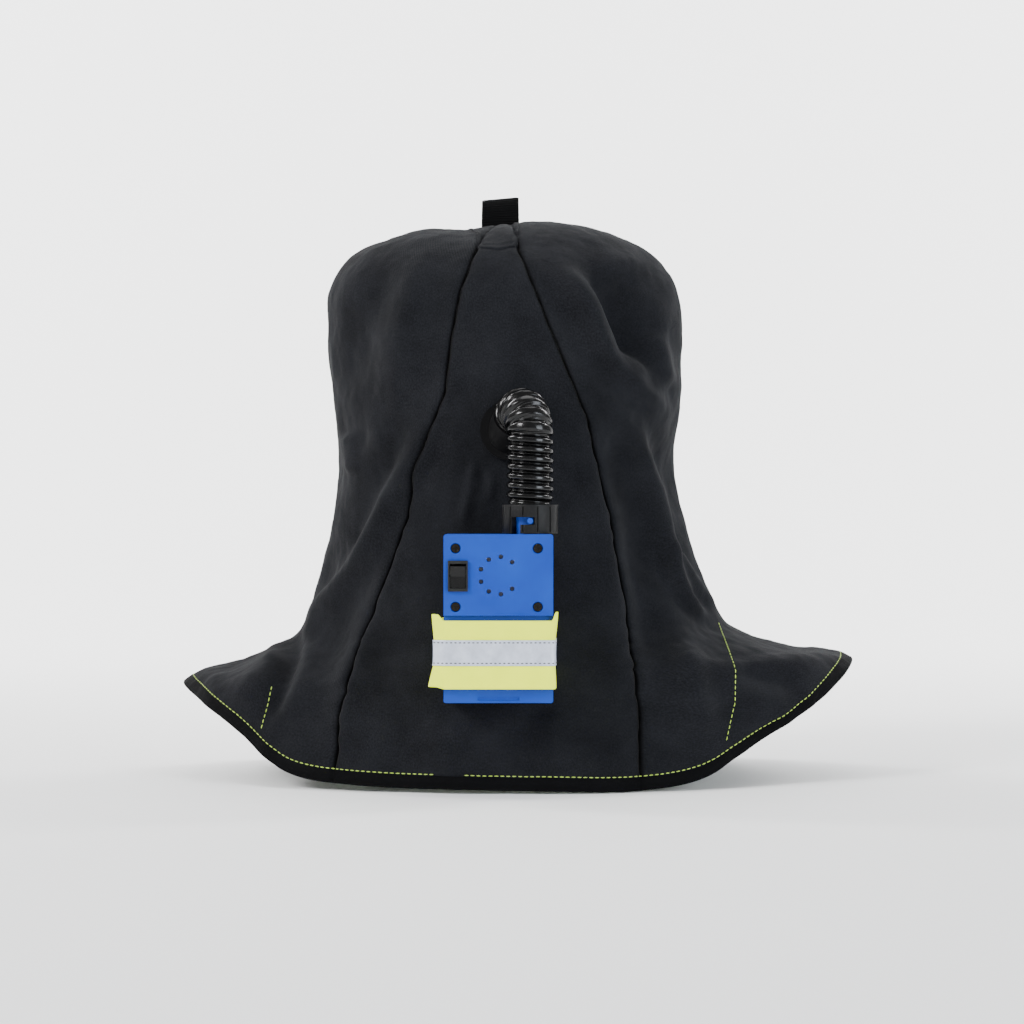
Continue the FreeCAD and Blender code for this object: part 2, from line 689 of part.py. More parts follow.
def make_jack_and_leads():
    """Charging jack in the unit's top wall, and the leads inside the unit."""
    body = tube("Jack", "z", "3.5", "1.8", ("unit_top - 12", "unit_top"), x=JACK_X, y=JACK_Y)
    end = rod("JackEnd", "z", "3.5", ("unit_top - 13.4", "unit_top - 12"), x=JACK_X, y=JACK_Y)
    node(join("ChargeJack", body, end), "charge_jack")
    leads = []
    for number, z in enumerate(("switch_z - 4", "switch_z + 4")):
        leads.append(rod(f"SwitchLead{number}", "y", "0.8", ("unit_back + 15", "unit_front - 4"),
                         x="switch_x", z=z))
    node(group("SwitchLeads", leads), "switch_leads")
    leads = []
    for number, x in enumerate(("-8", "0")):
        leads.append(rod(f"BatteryLead{number}", "z", "0.8", ("cover_split - 0.5", "cover_split + 13"),
                         x=x, y="unit_front - 4.8"))
    node(group("BatteryLeads", leads), "battery_leads")


def make_battery():
    """Three cells on a moulded carrier between sprung contact plates."""
    cell_x = ("unit_middle - cell_length / 2", "unit_middle + cell_length / 2")
    cells_made = []
    beds = []
    for number in (-1, 0, 1):
        z = f"cell_z + {number} * cell_pitch"
        cells_made.append(rod(f"Cell{number + 1}", "x", "cell_radius", cell_x, y="cell_y", z=z))
        beds.append(rod(f"Bed{number + 1}", "x", "cell_radius", cell_x, y="cell_y", z=z))
    node(group("Cells", cells_made), "battery_cells")
    plate = block("CarrierBlock", cell_x, ("cell_y + 5", "unit_front - unit_wall"),
                  ("unit_bottom + unit_wall + 1", "cover_split - 1.5"))
    node(cut("Carrier", plate, *beds), "cell_carrier")
    contacts = []
    for number, side in enumerate((f"{cell_x[0]} - 2.5", cell_x[1])):
        contacts.append(block(f"Contact{number}", (side, f"{side} + 2.5"), ("cell_y - 6", "cell_y + 6"),
                              ("unit_bottom + unit_wall + 1", "cover_split - 1.5")))
    node(group("Contacts", contacts), "battery_contacts")


def make_strap(hood):
    """The wide yellow strap round the unit, its silver tape, and the pad between unit and hood."""
    strap_z = ("strap_bottom", "strap_top")
    reach = ("unit_back - strap_thick", "-120")
    outside = block("StrapOutside", (f"{UNIT_LEFT} - strap_gap - strap_thick",
                                     f"{UNIT_RIGHT} + strap_thick + 0.4"),
                    (reach[0], reach[1]), strap_z)
    inside = block("StrapInside", (f"{UNIT_LEFT} - strap_gap", f"{UNIT_RIGHT} + 0.4"),
                   ("unit_back", "-110"),
                   ("strap_bottom - 1", "strap_top + 1"))
    strap = cut("Strap", rounded("StrapRound", outside, 1.5, "z"), inside)
    tape_outside = block("TapeOutside",
                         (f"{UNIT_LEFT} - strap_gap - strap_thick - tape_thick",
                          f"{UNIT_RIGHT} + strap_thick + 0.4 + tape_thick"),
                         ("unit_back - strap_thick - tape_thick", "-120"), ("tape_bottom", "tape_top"))
    tape = cut("Tape", rounded("TapeRound", tape_outside, 1.5, "z"), block(
        "TapeInside",
        (f"{UNIT_LEFT} - strap_gap - strap_thick", f"{UNIT_RIGHT} + strap_thick + 0.4"),
        ("unit_back - strap_thick", "-110"), ("tape_bottom - 1", "tape_top + 1")))
    pad_block = block("PadBlock", (f"{UNIT_LEFT} + 6", f"{UNIT_RIGHT} - 6"), ("unit_front", "-120"),
                      ("unit_bottom + 8", "unit_top - 8"))
    doc.recompute()
    node(fixed("UnitStrap", strap.Shape.cut(hood)), "unit_strap")
    node(fixed("ReflectiveTape", tape.Shape.cut(hood)), "reflective_tape")
    node(fixed("UnitPad", pad_block.Shape.cut(hood)), "unit_pad")


# ---------------------------------------------------------------- outlet, collar and hose

def make_outlet():
    """Blue spigot with its bayonet lug, the flat seal on it, and the hose end fitting."""
    place = {"x": "outlet_x", "y": "outlet_y"}
    spigot = tube("SpigotTube", "z", "spigot_radius", "spigot_bore", ("unit_top - 3", "collar_top - 5"),
                  **place)
    lug = rod("SpigotLug", "y", "2", ("outlet_y - collar_radius + 0.6", "outlet_y - spigot_radius + 1"),
              x="outlet_x", z="unit_top + 9")
    node(join("Spigot", spigot, lug), "outlet_spigot")
    node(tube("Seal", "z", "spigot_radius - 0.2", "spigot_bore", ("collar_top - 5", "collar_top - 4"),
              **place),
         "spigot_seal")
    flange = tube("FittingFlange", "z", "collar_bore - 0.3", "10.5", ("collar_top - 4", "collar_top - 2"),
                  **place)
    stem = tube("FittingStem", "z", "hose_bore - 0.3", "10.5", ("collar_top - 3", "collar_top + 14"),
                **place)
    node(join("Fitting", flange, stem), "hose_end_fitting")


def make_collar():
    """Bayonet collar: it drops over the lug and turns 30 degrees to lock."""
    place = {"x": "outlet_x", "y": "outlet_y"}
    sleeve = tube("CollarSleeve", "z", "collar_radius", "collar_bore", ("unit_top + 0.3", "collar_top"),
                  **place)
    lip = tube("CollarLip", "z", "collar_radius", "hose_bore + 0.4", ("collar_top - 1.6", "collar_top"),
               **place)
    track = rod("CollarTrack", "z", "collar_radius + 1", ("unit_top + 6.5", "unit_top + 11.5"), **place)
    entry = rod("CollarEntry", "z", "collar_radius + 1", ("unit_top - 1", "unit_top + 11"), **place)
    for sector, start, sweep in ((track, TRACK_START, TRACK_SWEEP), (entry, TRACK_START, ENTRY_SWEEP)):
        sector.Angle = sweep
        sector.Placement = Placement(Vector(), Rotation(Vector(0, 0, 1), start))
    ribs = []
    for number in range(12):
        turn = math.radians(number * 30 + 15)
        x = f"outlet_x + (collar_radius - 0.2) * {math.cos(turn):.3f}"
        y = f"outlet_y + (collar_radius - 0.2) * {math.sin(turn):.3f}"
        ribs.append(rod(f"CollarGroove{number}", "z", "0.6", ("unit_top + 1.5", "collar_top - 1.5"), x=x,
                        y=y))
    node(cut("Collar", join("CollarBlank", sleeve, lip), track, entry, *ribs), "hose_collar")


# The lug points along -Y, 270 degrees round the collar; the track starts 42 degrees before it.
TRACK_START = 270 - 42
TRACK_SWEEP = 51
ENTRY_SWEEP = 21


def hose_path():
    """The hose's middle line: out of the elbow, over a bend and straight down to the collar."""
    port = Vector(SIZES["port_x"], SIZES["port_y"], SIZES["port_z"])
    end = Vector(SIZES["outlet_x"], SIZES["outlet_y"], SIZES["collar_top"] + 0.4)
    flat = Vector(end.x - port.x, end.y - port.y, 0)
    reach = flat.Length
    flat.normalize()
    up = Vector(0, 0, 1)
    rise = math.radians(SIZES["hose_rise"])
    bend = SIZES["hose_bend"]

    def at(along, height):
        return port + flat * along + up * height

    start_along = reach - bend * (1 + math.sin(rise))
    start_height = start_along * math.tan(rise)
    centre_height = start_height - bend * math.cos(rise)
    bend_start = at(start_along, start_height)
    middle_angle = (math.pi / 2 + rise) / 2
    bend_middle = at(reach - bend + bend * math.cos(middle_angle),
                     centre_height + bend * math.sin(middle_angle))
    bend_end = at(reach, centre_height)
    heading = flat * math.cos(rise) + up * math.sin(rise)
    return port, heading, bend_start, bend_middle, bend_end, end


def swept(radius, start, bend_start, bend_middle, bend_end, end):
    """A round bar along the hose's middle line."""
    path = Part.Wire([
        Part.LineSegment(start, bend_start).toShape(),
        Part.Arc(bend_start, bend_middle, bend_end).toShape(),
        Part.LineSegment(bend_end, end).toShape(),
    ])
    ring = Part.Wire(Part.Circle(start, bend_start - start, radius).toShape())
    return path.makePipeShell([ring], True, True)


def make_hose_and_port(hood):
    """The hose, the elbow with its flange on the hood, and the ring that clamps it from inside."""
    port, heading, bend_start, bend_middle, bend_end, end = hose_path()
    shoulder = 10.4 / math.cos(math.radians(SIZES["hose_rise"]))
    hose_start = port + heading * (shoulder + 0.2)
    line = (hose_start, bend_start, bend_middle, bend_end, end)
    hose = swept(SIZES["hose_radius"], *line).cut(swept(SIZES["hose_bore"], *line))
    node(fixed("Hose", hose), "breathing_hose")

    back = Vector(0, -1, 0)
    inward = Vector(0, 1, 0)
    seat = port + Vector(0, 0.5, 0)
    plate = Part.makeCylinder(SIZES["flange_radius"], SIZES["flange_thick"], seat, back)
    hose_seat = Part.makeCylinder(SIZES["hose_radius"] + 0.3, 40, port + heading * shoulder, heading)
    elbow = Part.makeCylinder(SIZES["hose_radius"] - 0.5, shoulder + 6, port - heading * 6, heading)
    insert = Part.makeCylinder(SIZES["hose_bore"] - 0.3, shoulder + 4, port, heading)
    bore = Part.makeCylinder(SIZES["elbow_bore"], 60, port - heading * 6, heading)
    inlet = Part.makeCylinder(SIZES["elbow_bore"], 20, port + Vector(0, 10, 0), back)
    nipple = Part.makeCylinder(PORT_BORE, 10, port + Vector(0, 9, 0), back)
    behind = Part.makeBox(80, 40, 80, Vector(port.x - 40, port.y + 0.5, port.z - 40))
    outside = plate.cut(hose_seat).fuse(elbow).fuse(insert).cut(hood).fuse(nipple)
    outside = outside.cut(bore.cut(behind)).cut(inlet)
    node(fixed("PortFlange", outside.removeSplitter()), "port_flange")
    ring = Part.makeCylinder(SIZES["port_ring_radius"], SIZES["port_ring_thick"], seat, inward)
    ring = ring.cut(Part.makeCylinder(PORT_BORE, 20, port, inward))
    node(fixed("PortRing", ring.common(hood_solid(-SIZES["fabric"]))), "port_ring")


# ---------------------------------------------------------------- head harness

def ellipsoid(name, grow):
    """The upper half of the cap's form, grown by a formula on every side."""
    form = doc.addObject("Part::Ellipsoid", name)
    bind(form, Radius1=f"cap_height + {grow}", Radius2=f"cap_half_width + {grow}",
         Radius3=f"cap_half_depth + {grow}")
    form.Angle1 = 0
    return form


def make_cap():
    """The rigid cap that carries the hood, and the air duct that runs over it to the nozzle."""
    screw_hole = rod("CapScrewHole", "x", str(BRACKET_SCREW_RADIUS + 0.2),
                     ("-cap_half_width - 1", "cap_half_width + 1"),
                     z=str(BRACKET_SCREW_Z))
    node(cut("CapShell", ellipsoid("CapOutside", "0"), ellipsoid("CapInside", "-cap_wall"), screw_hole),
         "cap_shell")
    duct_x = ("port_x - duct_width / 2", "port_x + duct_width / 2")
    low_z = "port_z - 14"

    def arch(name, inside, outside, side, mouth):
        shell = cut(name + "Shell", ellipsoid(name + "Far", outside), ellipsoid(name + "Near", inside))
        slab = block(name + "Slab", (f"{duct_x[0]} + {side}", f"{duct_x[1]} - {side}"), ("-200", "200"),
                     ("0", "200"))
        front = block(name + "Front", ("-60", "60"), ("0", "200"), ("-1", f"48 - {mouth}"))
        riser = block(name + "Riser", (f"{duct_x[0]} + {side}", f"{duct_x[1]} - {side}"),
                      (f"-cap_half_depth - ({outside})", f"-cap_half_depth - ({inside})"),
                      (f"{low_z} + {side}", "0"))
        return join(name, cut(name + "Arch", common(name + "Strip", shell, slab), front), riser)

    body = arch("DuctOutside", "1", "1 + duct_depth", "0", "0")
    room = arch("DuctInside", "1 + duct_wall", "1 + duct_depth - duct_wall", "duct_wall", "1")
    inlet = rod("DuctInlet", "y", "12", ("port_y", "-cap_half_depth - 4"), x="port_x", z="port_z")
    node(cut("AirDuct", body, room, inlet), "air_duct")
    nozzle = block("NozzleBlock", ("port_x - nozzle_half_width", "port_x + nozzle_half_width"),
                   ("nozzle_back", "nozzle_front"), ("nozzle_bottom", "nozzle_top"))
    slot = block("NozzleSlot",
                 ("port_x - nozzle_half_width + nozzle_wall", "port_x + nozzle_half_width - nozzle_wall"),
                 ("nozzle_back + nozzle_wall", "nozzle_front - nozzle_wall"),
                 ("nozzle_bottom - 1", "nozzle_top - 1.5"))
    throat = block("NozzleThroat", ("port_x - 17", "port_x + 17"), ("nozzle_back + 5.5", "nozzle_front - 4"),
                   ("nozzle_bottom + 6", "nozzle_top + 1"))
    node(cut("Nozzle", nozzle, slot, throat, ellipsoid("NozzleSeat", "0.2")), "air_nozzle")


def make_band():
    """The tilted headband, its sweatband and nape pad, and the hangers that join it to the cap."""
    def ring(width, depth, thick):
        forms = []
        for shrink in (0, thick):
            form = Part.Ellipse(Vector(), depth - shrink, width - shrink)
            form.rotate(Placement(Vector(), Rotation(Vector(0, 0, 1), 90)))
            forms.append(Part.Face(Part.Wire(form.toShape())).extrude(Vector(0, 0, 240)))
        tall = forms[0].cut(forms[1])
        tall.translate(Vector(0, 0, -120))
        return tall

    def slab(height, low_y, high_y):
        box = Part.makeBox(240, high_y - low_y, height, Vector(-120, low_y, -height / 2))
        box.rotate(Vector(), Vector(1, 0, 0), SIZES["band_tilt"])
        box.translate(Vector(0, 0, SIZES["band_z"]))
        return box

    width, depth, thick = SIZES["band_half_width"], SIZES["band_half_depth"], SIZES["band_thick"]
    gap = Part.makeBox(52, 60, 160, Vector(-26, -130, -160))
    band = ring(width, depth, thick).common(slab(SIZES["band_height"], -120, 120)).cut(gap)
    node(fixed("Headband", band), "headband")
    sweat = ring(width - thick, depth - thick, 4).common(slab(SIZES["band_height"] + 6, 40, 120))
    node(fixed("Sweatband", sweat), "sweatband")
    hangers = []
    for side in (-1, 1):
        for end in (-1, 1):
            hangers.append(make_hanger(side, end))
    node(group("BandHangers", hangers), "band_hangers")
    top = SIZES["cap_height"] - SIZES["cap_wall"]
    for label, angle, drop in (("crown_strap_left", 35, 14), ("crown_strap_right", -35, 16.5)):
        node(fixed(label.title(), crown_strap(angle, top - drop)), label)


def make_hanger(side, end):
    """One hanger: a flat post from the headband up to the inside of the cap."""
    angle = math.radians(45)
    band_x = (SIZES["band_half_width"]) * math.cos(angle) * side
    band_y = (SIZES["band_half_depth"]) * math.sin(angle) * end
    low = SIZES["band_z"] + band_y * math.tan(math.radians(SIZES["band_tilt"])) - 6
    post = Part.makeBox(16, 12, 30 - low, Vector(-8, 0.2, 0))
    outward = math.degrees(math.atan2(band_y / SIZES["band_half_depth"] ** 2,
                                      band_x / SIZES["band_half_width"] ** 2))
    post.rotate(Vector(), Vector(0, 0, 1), outward - 90)
    post.translate(Vector(band_x, band_y, low))
    inside = Part.makeSphere(1)
    matrix = FreeCAD.Matrix()
    wall = SIZES["cap_wall"]
    matrix.scale(SIZES["cap_half_width"] - wall, SIZES["cap_half_depth"] - wall, SIZES["cap_height"] - wall)
    dome = inside.transformGeometry(matrix)
    skirt = Part.makeBox(400, 400, 200, Vector(-200, -200, -200))
    name = f"Hanger{'L' if side < 0 else 'R'}{'B' if end < 0 else 'F'}"
    return fixed(name, post.common(dome.fuse(skirt)))


def crown_strap(angle, top):
    """A webbing arch inside the cap, across the head at an angle to the front."""
    wide, thick = SIZES["strap_width"], SIZES["strap_webbing"]
    reach, foot = SIZES["cap_half_width"] - SIZES["cap_wall"] + 0.7, 8.0
    arch = Part.Arc(Vector(-reach, 0, foot), Vector(0, 0, top), Vector(reach, 0, foot))
    inner = Part.Arc(Vector(reach - thick, 0, foot), Vector(0, 0, top - thick),
                     Vector(thick - reach, 0, foot))
    feet = [Part.LineSegment(Vector(reach, 0, foot), Vector(reach - thick, 0, foot)),
            Part.LineSegment(Vector(thick - reach, 0, foot), Vector(-reach, 0, foot))]
    outline = Part.Wire([arch.toShape(), feet[0].toShape(), inner.toShape(), feet[1].toShape()])
    strap = Part.Face(outline).extrude(Vector(0, wide, 0))
    strap.translate(Vector(0, -wide / 2, 0))
    strap.rotate(Vector(), Vector(0, 0, 1), angle)
    return strap


def make_ratchet():
    """Nape ratchet: housing, knob, pinion and the two racks it draws in."""
    housing_x = ("-31", "31")
    case = rounded("RatchetBlock", block(
        "RatchetBox", housing_x, ("nape_y - 6", "nape_y + 4"), ("nape_z - 15", "nape_z + 15")), 6, "y")
    room = block("RatchetRoom", ("-32", "32"), ("nape_y - 2.6", "nape_y + 2"),
                 ("nape_z - 10.4", "nape_z + 10.4"))
    hole = rod("RatchetHole", "y", "3.3", ("nape_y - 8", "nape_y"), z="nape_z")
    node(cut("RatchetHousing", case, room, hole), "ratchet_housing")

    knob = new_body("Knob", "0", "nape_y - 6.4", "nape_z")
    face = sketch_on(knob, "XZ_Plane", "KnobFace")
    circle(face, "knob_radius")
    pad(knob, face, "KnobDisc", "knob_depth")
    scallop = sketch_on(knob, "XZ_Plane", "KnobScallopShape")
    circle(scallop, "2.2", "knob_radius + 1")
    doc.recompute()
    cut_one = pocket(knob, scallop, "KnobScallop", "knob_depth + 2")
    doc.recompute()
    polar(knob, cut_one, "KnobScallops", 14)
    node(knob, "ratchet_knob")

    gear = new_body("Pinion", "0", "nape_y + 1.6", "nape_z")
    wheel = sketch_on(gear, "XZ_Plane", "PinionWheel")
    circle(wheel, "pinion_radius - 1")
    pad(gear, wheel, "PinionHub", "8")
    tooth = sketch_on(gear, "XZ_Plane", "PinionToothShape")
    rectangle(tooth, "pinion_radius - 2", "pinion_radius", "1.1")
    tooth_pad = pad(gear, tooth, "PinionTooth", "3.6")
    doc.recompute()
    polar(gear, tooth_pad, "PinionTeeth", 10)
    node(gear, "ratchet_pinion")

    for label, side, height in (("rack_left", -1, 1), ("rack_right", 1, -1)):
        node(make_rack(label, side, height), label)
    pad_block = rounded("NapePadBlock", block(
        "NapePadBox", ("-25", "25"), ("nape_y + 4", "nape_y + 11"), ("nape_z - 18", "nape_z + 18")), 8, "y")
    node(pad_block, "nape_pad")


def make_rack(label, side, height):
    """One toothed strap end; its teeth face the pinion from above or below."""
    length, deep = SIZES["rack_length"], SIZES["rack_height"]
    inner_end = 12 * -side
    start = min(inner_end, inner_end + side * length)
    base = SIZES["rack_offset"] + 1
    rack = Part.makeBox(length, 3, deep - 1, Vector(start, -1.6, base if height > 0 else -base - deep + 1))
    for number in range(9):
        x = inner_end + side * (1.5 + number * 2.9)
        tip = base - 1 if height > 0 else -base
        rack = rack.fuse(Part.makeBox(1.4, 3, 1.0, Vector(x - 0.7, -1.6, tip)))
    feature = fixed(label.title(), rack.removeSplitter())
    feature.Placement = Placement(Vector(0, SIZES["nape_y"], SIZES["nape_z"]), Rotation())
    return feature


BRACKET_SCREW_Z = 15
BRACKET_SCREW_RADIUS = 1.8


def make_side_brackets():
    """Moulded brackets that hold the hood's sides off the cap, with a screw through each."""
    dome_matrix = FreeCAD.Matrix()
    dome_matrix.scale(SIZES["cap_half_width"], SIZES["cap_half_depth"], SIZES["cap_height"])
    dome = Part.makeSphere(1).transformGeometry(dome_matrix)
    inside = hood_solid(-SIZES["fabric"])
    screws = []
    for label, side in (("side_bracket_left", -1), ("side_bracket_right", 1)):
        bar = Part.makeBox(50, 22, 18, Vector(90 if side > 0 else -140, -11, 6))
        seat = Vector(side * (SIZES["cap_half_width"] - SIZES["cap_wall"] - 1.8), 0, BRACKET_SCREW_Z)
        head = Part.makeCylinder(4, 2.2, seat, Vector(-side, 0, 0))
        stem = Part.makeCylinder(BRACKET_SCREW_RADIUS, 18, seat, Vector(side, 0, 0))
        screw = head.fuse(stem)
        node(fixed(label.title(), bar.cut(dome).common(inside).cut(screw)), label)
        screws.append(fixed(f"BracketScrew{'L' if side < 0 else 'R'}", screw.removeSplitter()))
    node(group("BracketScrews", screws), "bracket_screws")


# ---------------------------------------------------------------- build, test and write

def check_all():
    """Stop if any object failed or any sub-part is empty or broken."""
    for item in doc.Objects:
        if "Invalid" in item.State or "Error" in item.State:
            raise RuntimeError(f"{item.Label} failed: {item.State}")
    for item in nodes:
        if item.Shape.isNull() or not item.Shape.isValid() or item.Shape.Volume <= 0:
            raise RuntimeError(f"{item.Label} has no valid solid")


def write_all():
    """Write each sub-part to its own file."""
    os.makedirs("parts", exist_ok=True)
    for item in nodes:
        item.Shape.exportStep(f"parts/{item.Label}.step")


fill_sheet()
hood = make_hood()
make_loop()
make_unit_base()
make_fan_cover()
make_battery_cover()
make_screws()
make_switch()
make_blower()
make_jack_and_leads()
make_battery()
make_strap(hood)
make_outlet()
make_collar()
make_hose_and_port(hood)
make_cap()
make_band()
make_ratchet()
make_side_brackets()
doc.recompute()
check_all()
write_all()
for item in nodes:
    box = item.Shape.BoundBox
    print(f"{item.Label:20s} solids {len(item.Shape.Solids)} volume {item.Shape.Volume:10.1f}"
          f"  x {box.XMin:7.1f} {box.XMax:7.1f}  y {box.YMin:7.1f} {box.YMax:7.1f}"
          f"  z {box.ZMin:7.1f} {box.ZMax:7.1f}")
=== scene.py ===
import json
import math

import bmesh
import bpy
import numpy as np
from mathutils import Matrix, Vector, noise
from mathutils.bvhtree import BVHTree


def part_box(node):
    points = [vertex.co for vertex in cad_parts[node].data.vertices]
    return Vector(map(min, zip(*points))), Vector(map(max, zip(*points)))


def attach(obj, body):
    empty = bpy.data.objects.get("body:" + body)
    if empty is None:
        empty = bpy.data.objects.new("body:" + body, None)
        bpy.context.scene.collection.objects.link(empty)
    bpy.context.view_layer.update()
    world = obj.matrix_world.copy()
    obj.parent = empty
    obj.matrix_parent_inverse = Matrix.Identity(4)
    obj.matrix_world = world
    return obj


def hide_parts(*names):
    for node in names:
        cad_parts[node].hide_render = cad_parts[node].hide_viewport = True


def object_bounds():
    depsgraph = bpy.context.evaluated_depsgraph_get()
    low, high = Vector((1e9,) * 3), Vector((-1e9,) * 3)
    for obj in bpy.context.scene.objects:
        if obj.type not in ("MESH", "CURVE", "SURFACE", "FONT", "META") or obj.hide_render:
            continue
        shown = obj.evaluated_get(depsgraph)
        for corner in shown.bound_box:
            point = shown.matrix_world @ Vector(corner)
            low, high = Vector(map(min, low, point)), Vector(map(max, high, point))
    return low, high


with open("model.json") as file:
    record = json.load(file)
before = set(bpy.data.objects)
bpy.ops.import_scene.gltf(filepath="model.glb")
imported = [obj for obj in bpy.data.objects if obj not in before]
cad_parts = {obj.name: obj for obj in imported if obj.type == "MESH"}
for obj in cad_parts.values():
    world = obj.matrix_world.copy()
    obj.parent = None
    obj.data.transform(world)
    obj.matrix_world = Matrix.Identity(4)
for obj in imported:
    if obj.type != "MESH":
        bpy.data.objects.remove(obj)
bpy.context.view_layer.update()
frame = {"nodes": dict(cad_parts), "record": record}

# A flame-resistant hood with a battery blower unit on its back, seen from behind.
# Metres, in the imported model's frame: -Y is the hood's back, +Z is up.

MM = 0.001
HALF_TURN = math.pi
BACK = 1.5 * math.pi
NODES = frame["nodes"]

# ---------------------------------------------------------------- small tools


def smooth(value, low, high):
    """0 below low, 1 above high, an S curve between."""
    t = np.clip((value - low) / (high - low), 0, 1)
    return t * t * (3 - 2 * t)


def unit(vectors):
    """Vectors scaled to length 1."""
    return vectors / np.maximum(np.linalg.norm(vectors, axis=-1, keepdims=True), 1e-12)


def centre_of(node):
    """The middle of a CAD node's box."""
    low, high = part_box(node)
    return (low + high) / 2


def new_mesh(name, points, faces, uvs=None):
    """A mesh object from points, faces and, per point, a UV in metres of cloth."""
    mesh = bpy.data.meshes.new(name)
    mesh.from_pydata([tuple(p) for p in points], [], [tuple(f) for f in faces])
    if uvs is not None:
        layer = mesh.uv_layers.new(name="cloth")
        corner = np.zeros(len(mesh.loops), np.int32)
        mesh.loops.foreach_get("vertex_index", corner)
        layer.data.foreach_set("uv", np.asarray(uvs, np.float32)[corner].ravel())
    mesh.polygons.foreach_set("use_smooth", [True] * len(mesh.polygons))
    mesh.update()
    thing = bpy.data.objects.new(name, mesh)
    bpy.context.scene.collection.objects.link(thing)
    return thing


def grid_faces(rows, columns, closed_rows=False, closed_columns=False, flip=False):
    """Quads of a grid of points stored row by row."""
    faces = []
    for row in range(rows if closed_rows else rows - 1):
        for column in range(columns if closed_columns else columns - 1):
            a = row * columns + column
            b = row * columns + (column + 1) % columns
            c = ((row + 1) % rows) * columns + (column + 1) % columns
            d = ((row + 1) % rows) * columns + column
            faces.append((a, d, c, b) if flip else (a, b, c, d))
    return faces


def lengths_along(points):
    """Distance travelled at each point of a line."""
    steps = np.linalg.norm(np.diff(points, axis=0), axis=1)
    return np.concatenate([[0], np.cumsum(steps)])


def even_points(points, count):
    """The line again, with its points evenly spaced."""
    run = lengths_along(points)
    at = np.linspace(0, run[-1], count)
    return np.stack([np.interp(at, run, points[:, k]) for k in range(3)], axis=1)


def fractal(points, size, octaves=3, seed=0.0):
    """Smooth noise from -1 to 1 at each point, with bumps of about size."""
    shift = Vector((seed, seed * 1.7, -seed))
    return np.array([noise.fractal(Vector(p) / size + shift, 1.0, 2.0, octaves) for p in points])


def finish_piece(thing, body, material, slot, *replaced):
    """Give a piece its material and body, and hide the CAD nodes it stands for. The slot argument is not
    used.
    """
    thing.data.materials.clear()
    thing.data.materials.append(material)
    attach(thing, body)
    if replaced:
        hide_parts(*replaced)
    return thing


def face_outward(thing):
    """Turn a closed piece's faces to point out of it."""
    bm = bmesh.new()
    bm.from_mesh(thing.data)
    bmesh.ops.recalc_face_normals(bm, faces=bm.faces[:])
    bm.to_mesh(thing.data)
    bm.free()
    return thing


def thicken(thing, thickness, offset=-1.0, rim=True):
    """Give a sheet its thickness."""
    solid = thing.modifiers.new("thickness", "SOLIDIFY")
    solid.thickness = thickness
    solid.offset = offset
    solid.use_rim = rim
    solid.use_even_offset = False
    return thing


# ---------------------------------------------------------------- materials

def start_material(name, roughness=0.6, **sockets):
    """A material with its Principled shader's constants set."""
    material = bpy.data.materials.new(name)
    material.use_nodes = True
    shader = material.node_tree.nodes["Principled BSDF"]
    shader.inputs["Roughness"].default_value = roughness
    for socket, value in sockets.items():
        shader.inputs[socket.replace("_", " ")].default_value = value
    return material, material.node_tree, shader


def add(tree, kind, inputs=None, **settings):
    """A node with its settings, and its inputs set or linked."""
    node = tree.nodes.new(kind)
    for name, value in settings.items():
        setattr(node, name, value)
    for name, value in (inputs or {}).items():
        if isinstance(value, bpy.types.NodeSocket):
            tree.links.new(value, node.inputs[name])
        else:
            node.inputs[name].default_value = value
    return node


def place(tree, cloth, stretch=(1, 1, 1), turn=0.0):
    """Texture coordinates in millimetres, of the cloth's UV or of the object."""
    source = add(tree, "ShaderNodeTexCoord")
    mapping = add(tree, "ShaderNodeMapping", {
        "Vector": source.outputs["UV" if cloth else "Object"],
        "Scale": tuple(1000 * s for s in stretch),
        "Rotation": (0, 0, turn),
    })
    return mapping.outputs["Vector"]


def speckle(tree, where, size, detail=3.0, roughness=0.55, distortion=0.0):
    """Noise with features of about size, in millimetres."""
    node = add(tree, "ShaderNodeTexNoise", {
        "Vector": where, "Scale": 1.0 / size, "Detail": detail, "Roughness": roughness,
        "Distortion": distortion,
    })
    return node.outputs["Fac"]


def bands(tree, where, size, direction="X", distortion=0.0):
    """A wave whose crests are size millimetres apart."""
    node = add(tree, "ShaderNodeTexWave", {
        "Vector": where, "Scale": 2 * math.pi / 20 / size, "Distortion": distortion, "Detail": 1.0,
    }, wave_type="BANDS", bands_direction=direction, wave_profile="SIN")
    return node.outputs["Fac"]


def math_node(tree, operation, first, second):
    """Two values combined."""
    return add(tree, "ShaderNodeMath", {0: first, 1: second}, operation=operation).outputs[0]


def blend_colors(tree, factor, dark, light, low=0.3, high=0.7):
    """A colour that runs from dark to light as factor goes from low to high."""
    ramp = add(tree, "ShaderNodeValToRGB", {"Fac": factor})
    ramp.color_ramp.elements[0].position = low
    ramp.color_ramp.elements[1].position = high
    ramp.color_ramp.elements[0].color = (*dark, 1)
    ramp.color_ramp.elements[1].color = (*light, 1)
    return ramp.outputs["Color"]


def mix_colors(tree, factor, first, second):
    """Two colour sockets mixed by a factor socket."""
    node = add(tree, "ShaderNodeMix", {0: factor, 6: first, 7: second}, data_type="RGBA")
    return node.outputs[2]


def spread(tree, value, low, high, start=0.0, end=1.0):
    """A value moved from one range to another."""
    node = add(tree, "ShaderNodeMapRange", {
        "Value": value, "From Min": start, "From Max": end, "To Min": low, "To Max": high,
    })
    return node.outputs["Result"]


def relief(tree, shader, *layers):
    """Bump layers as (height, strength, depth in millimetres), the last on top."""
    normal = None
    for height, strength, depth in layers:
        inputs = {"Height": height, "Strength": strength, "Distance": depth * MM}
        if normal:
            inputs["Normal"] = normal
        normal = add(tree, "ShaderNodeBump", inputs).outputs["Normal"]
    tree.links.new(normal, shader.inputs["Normal"])


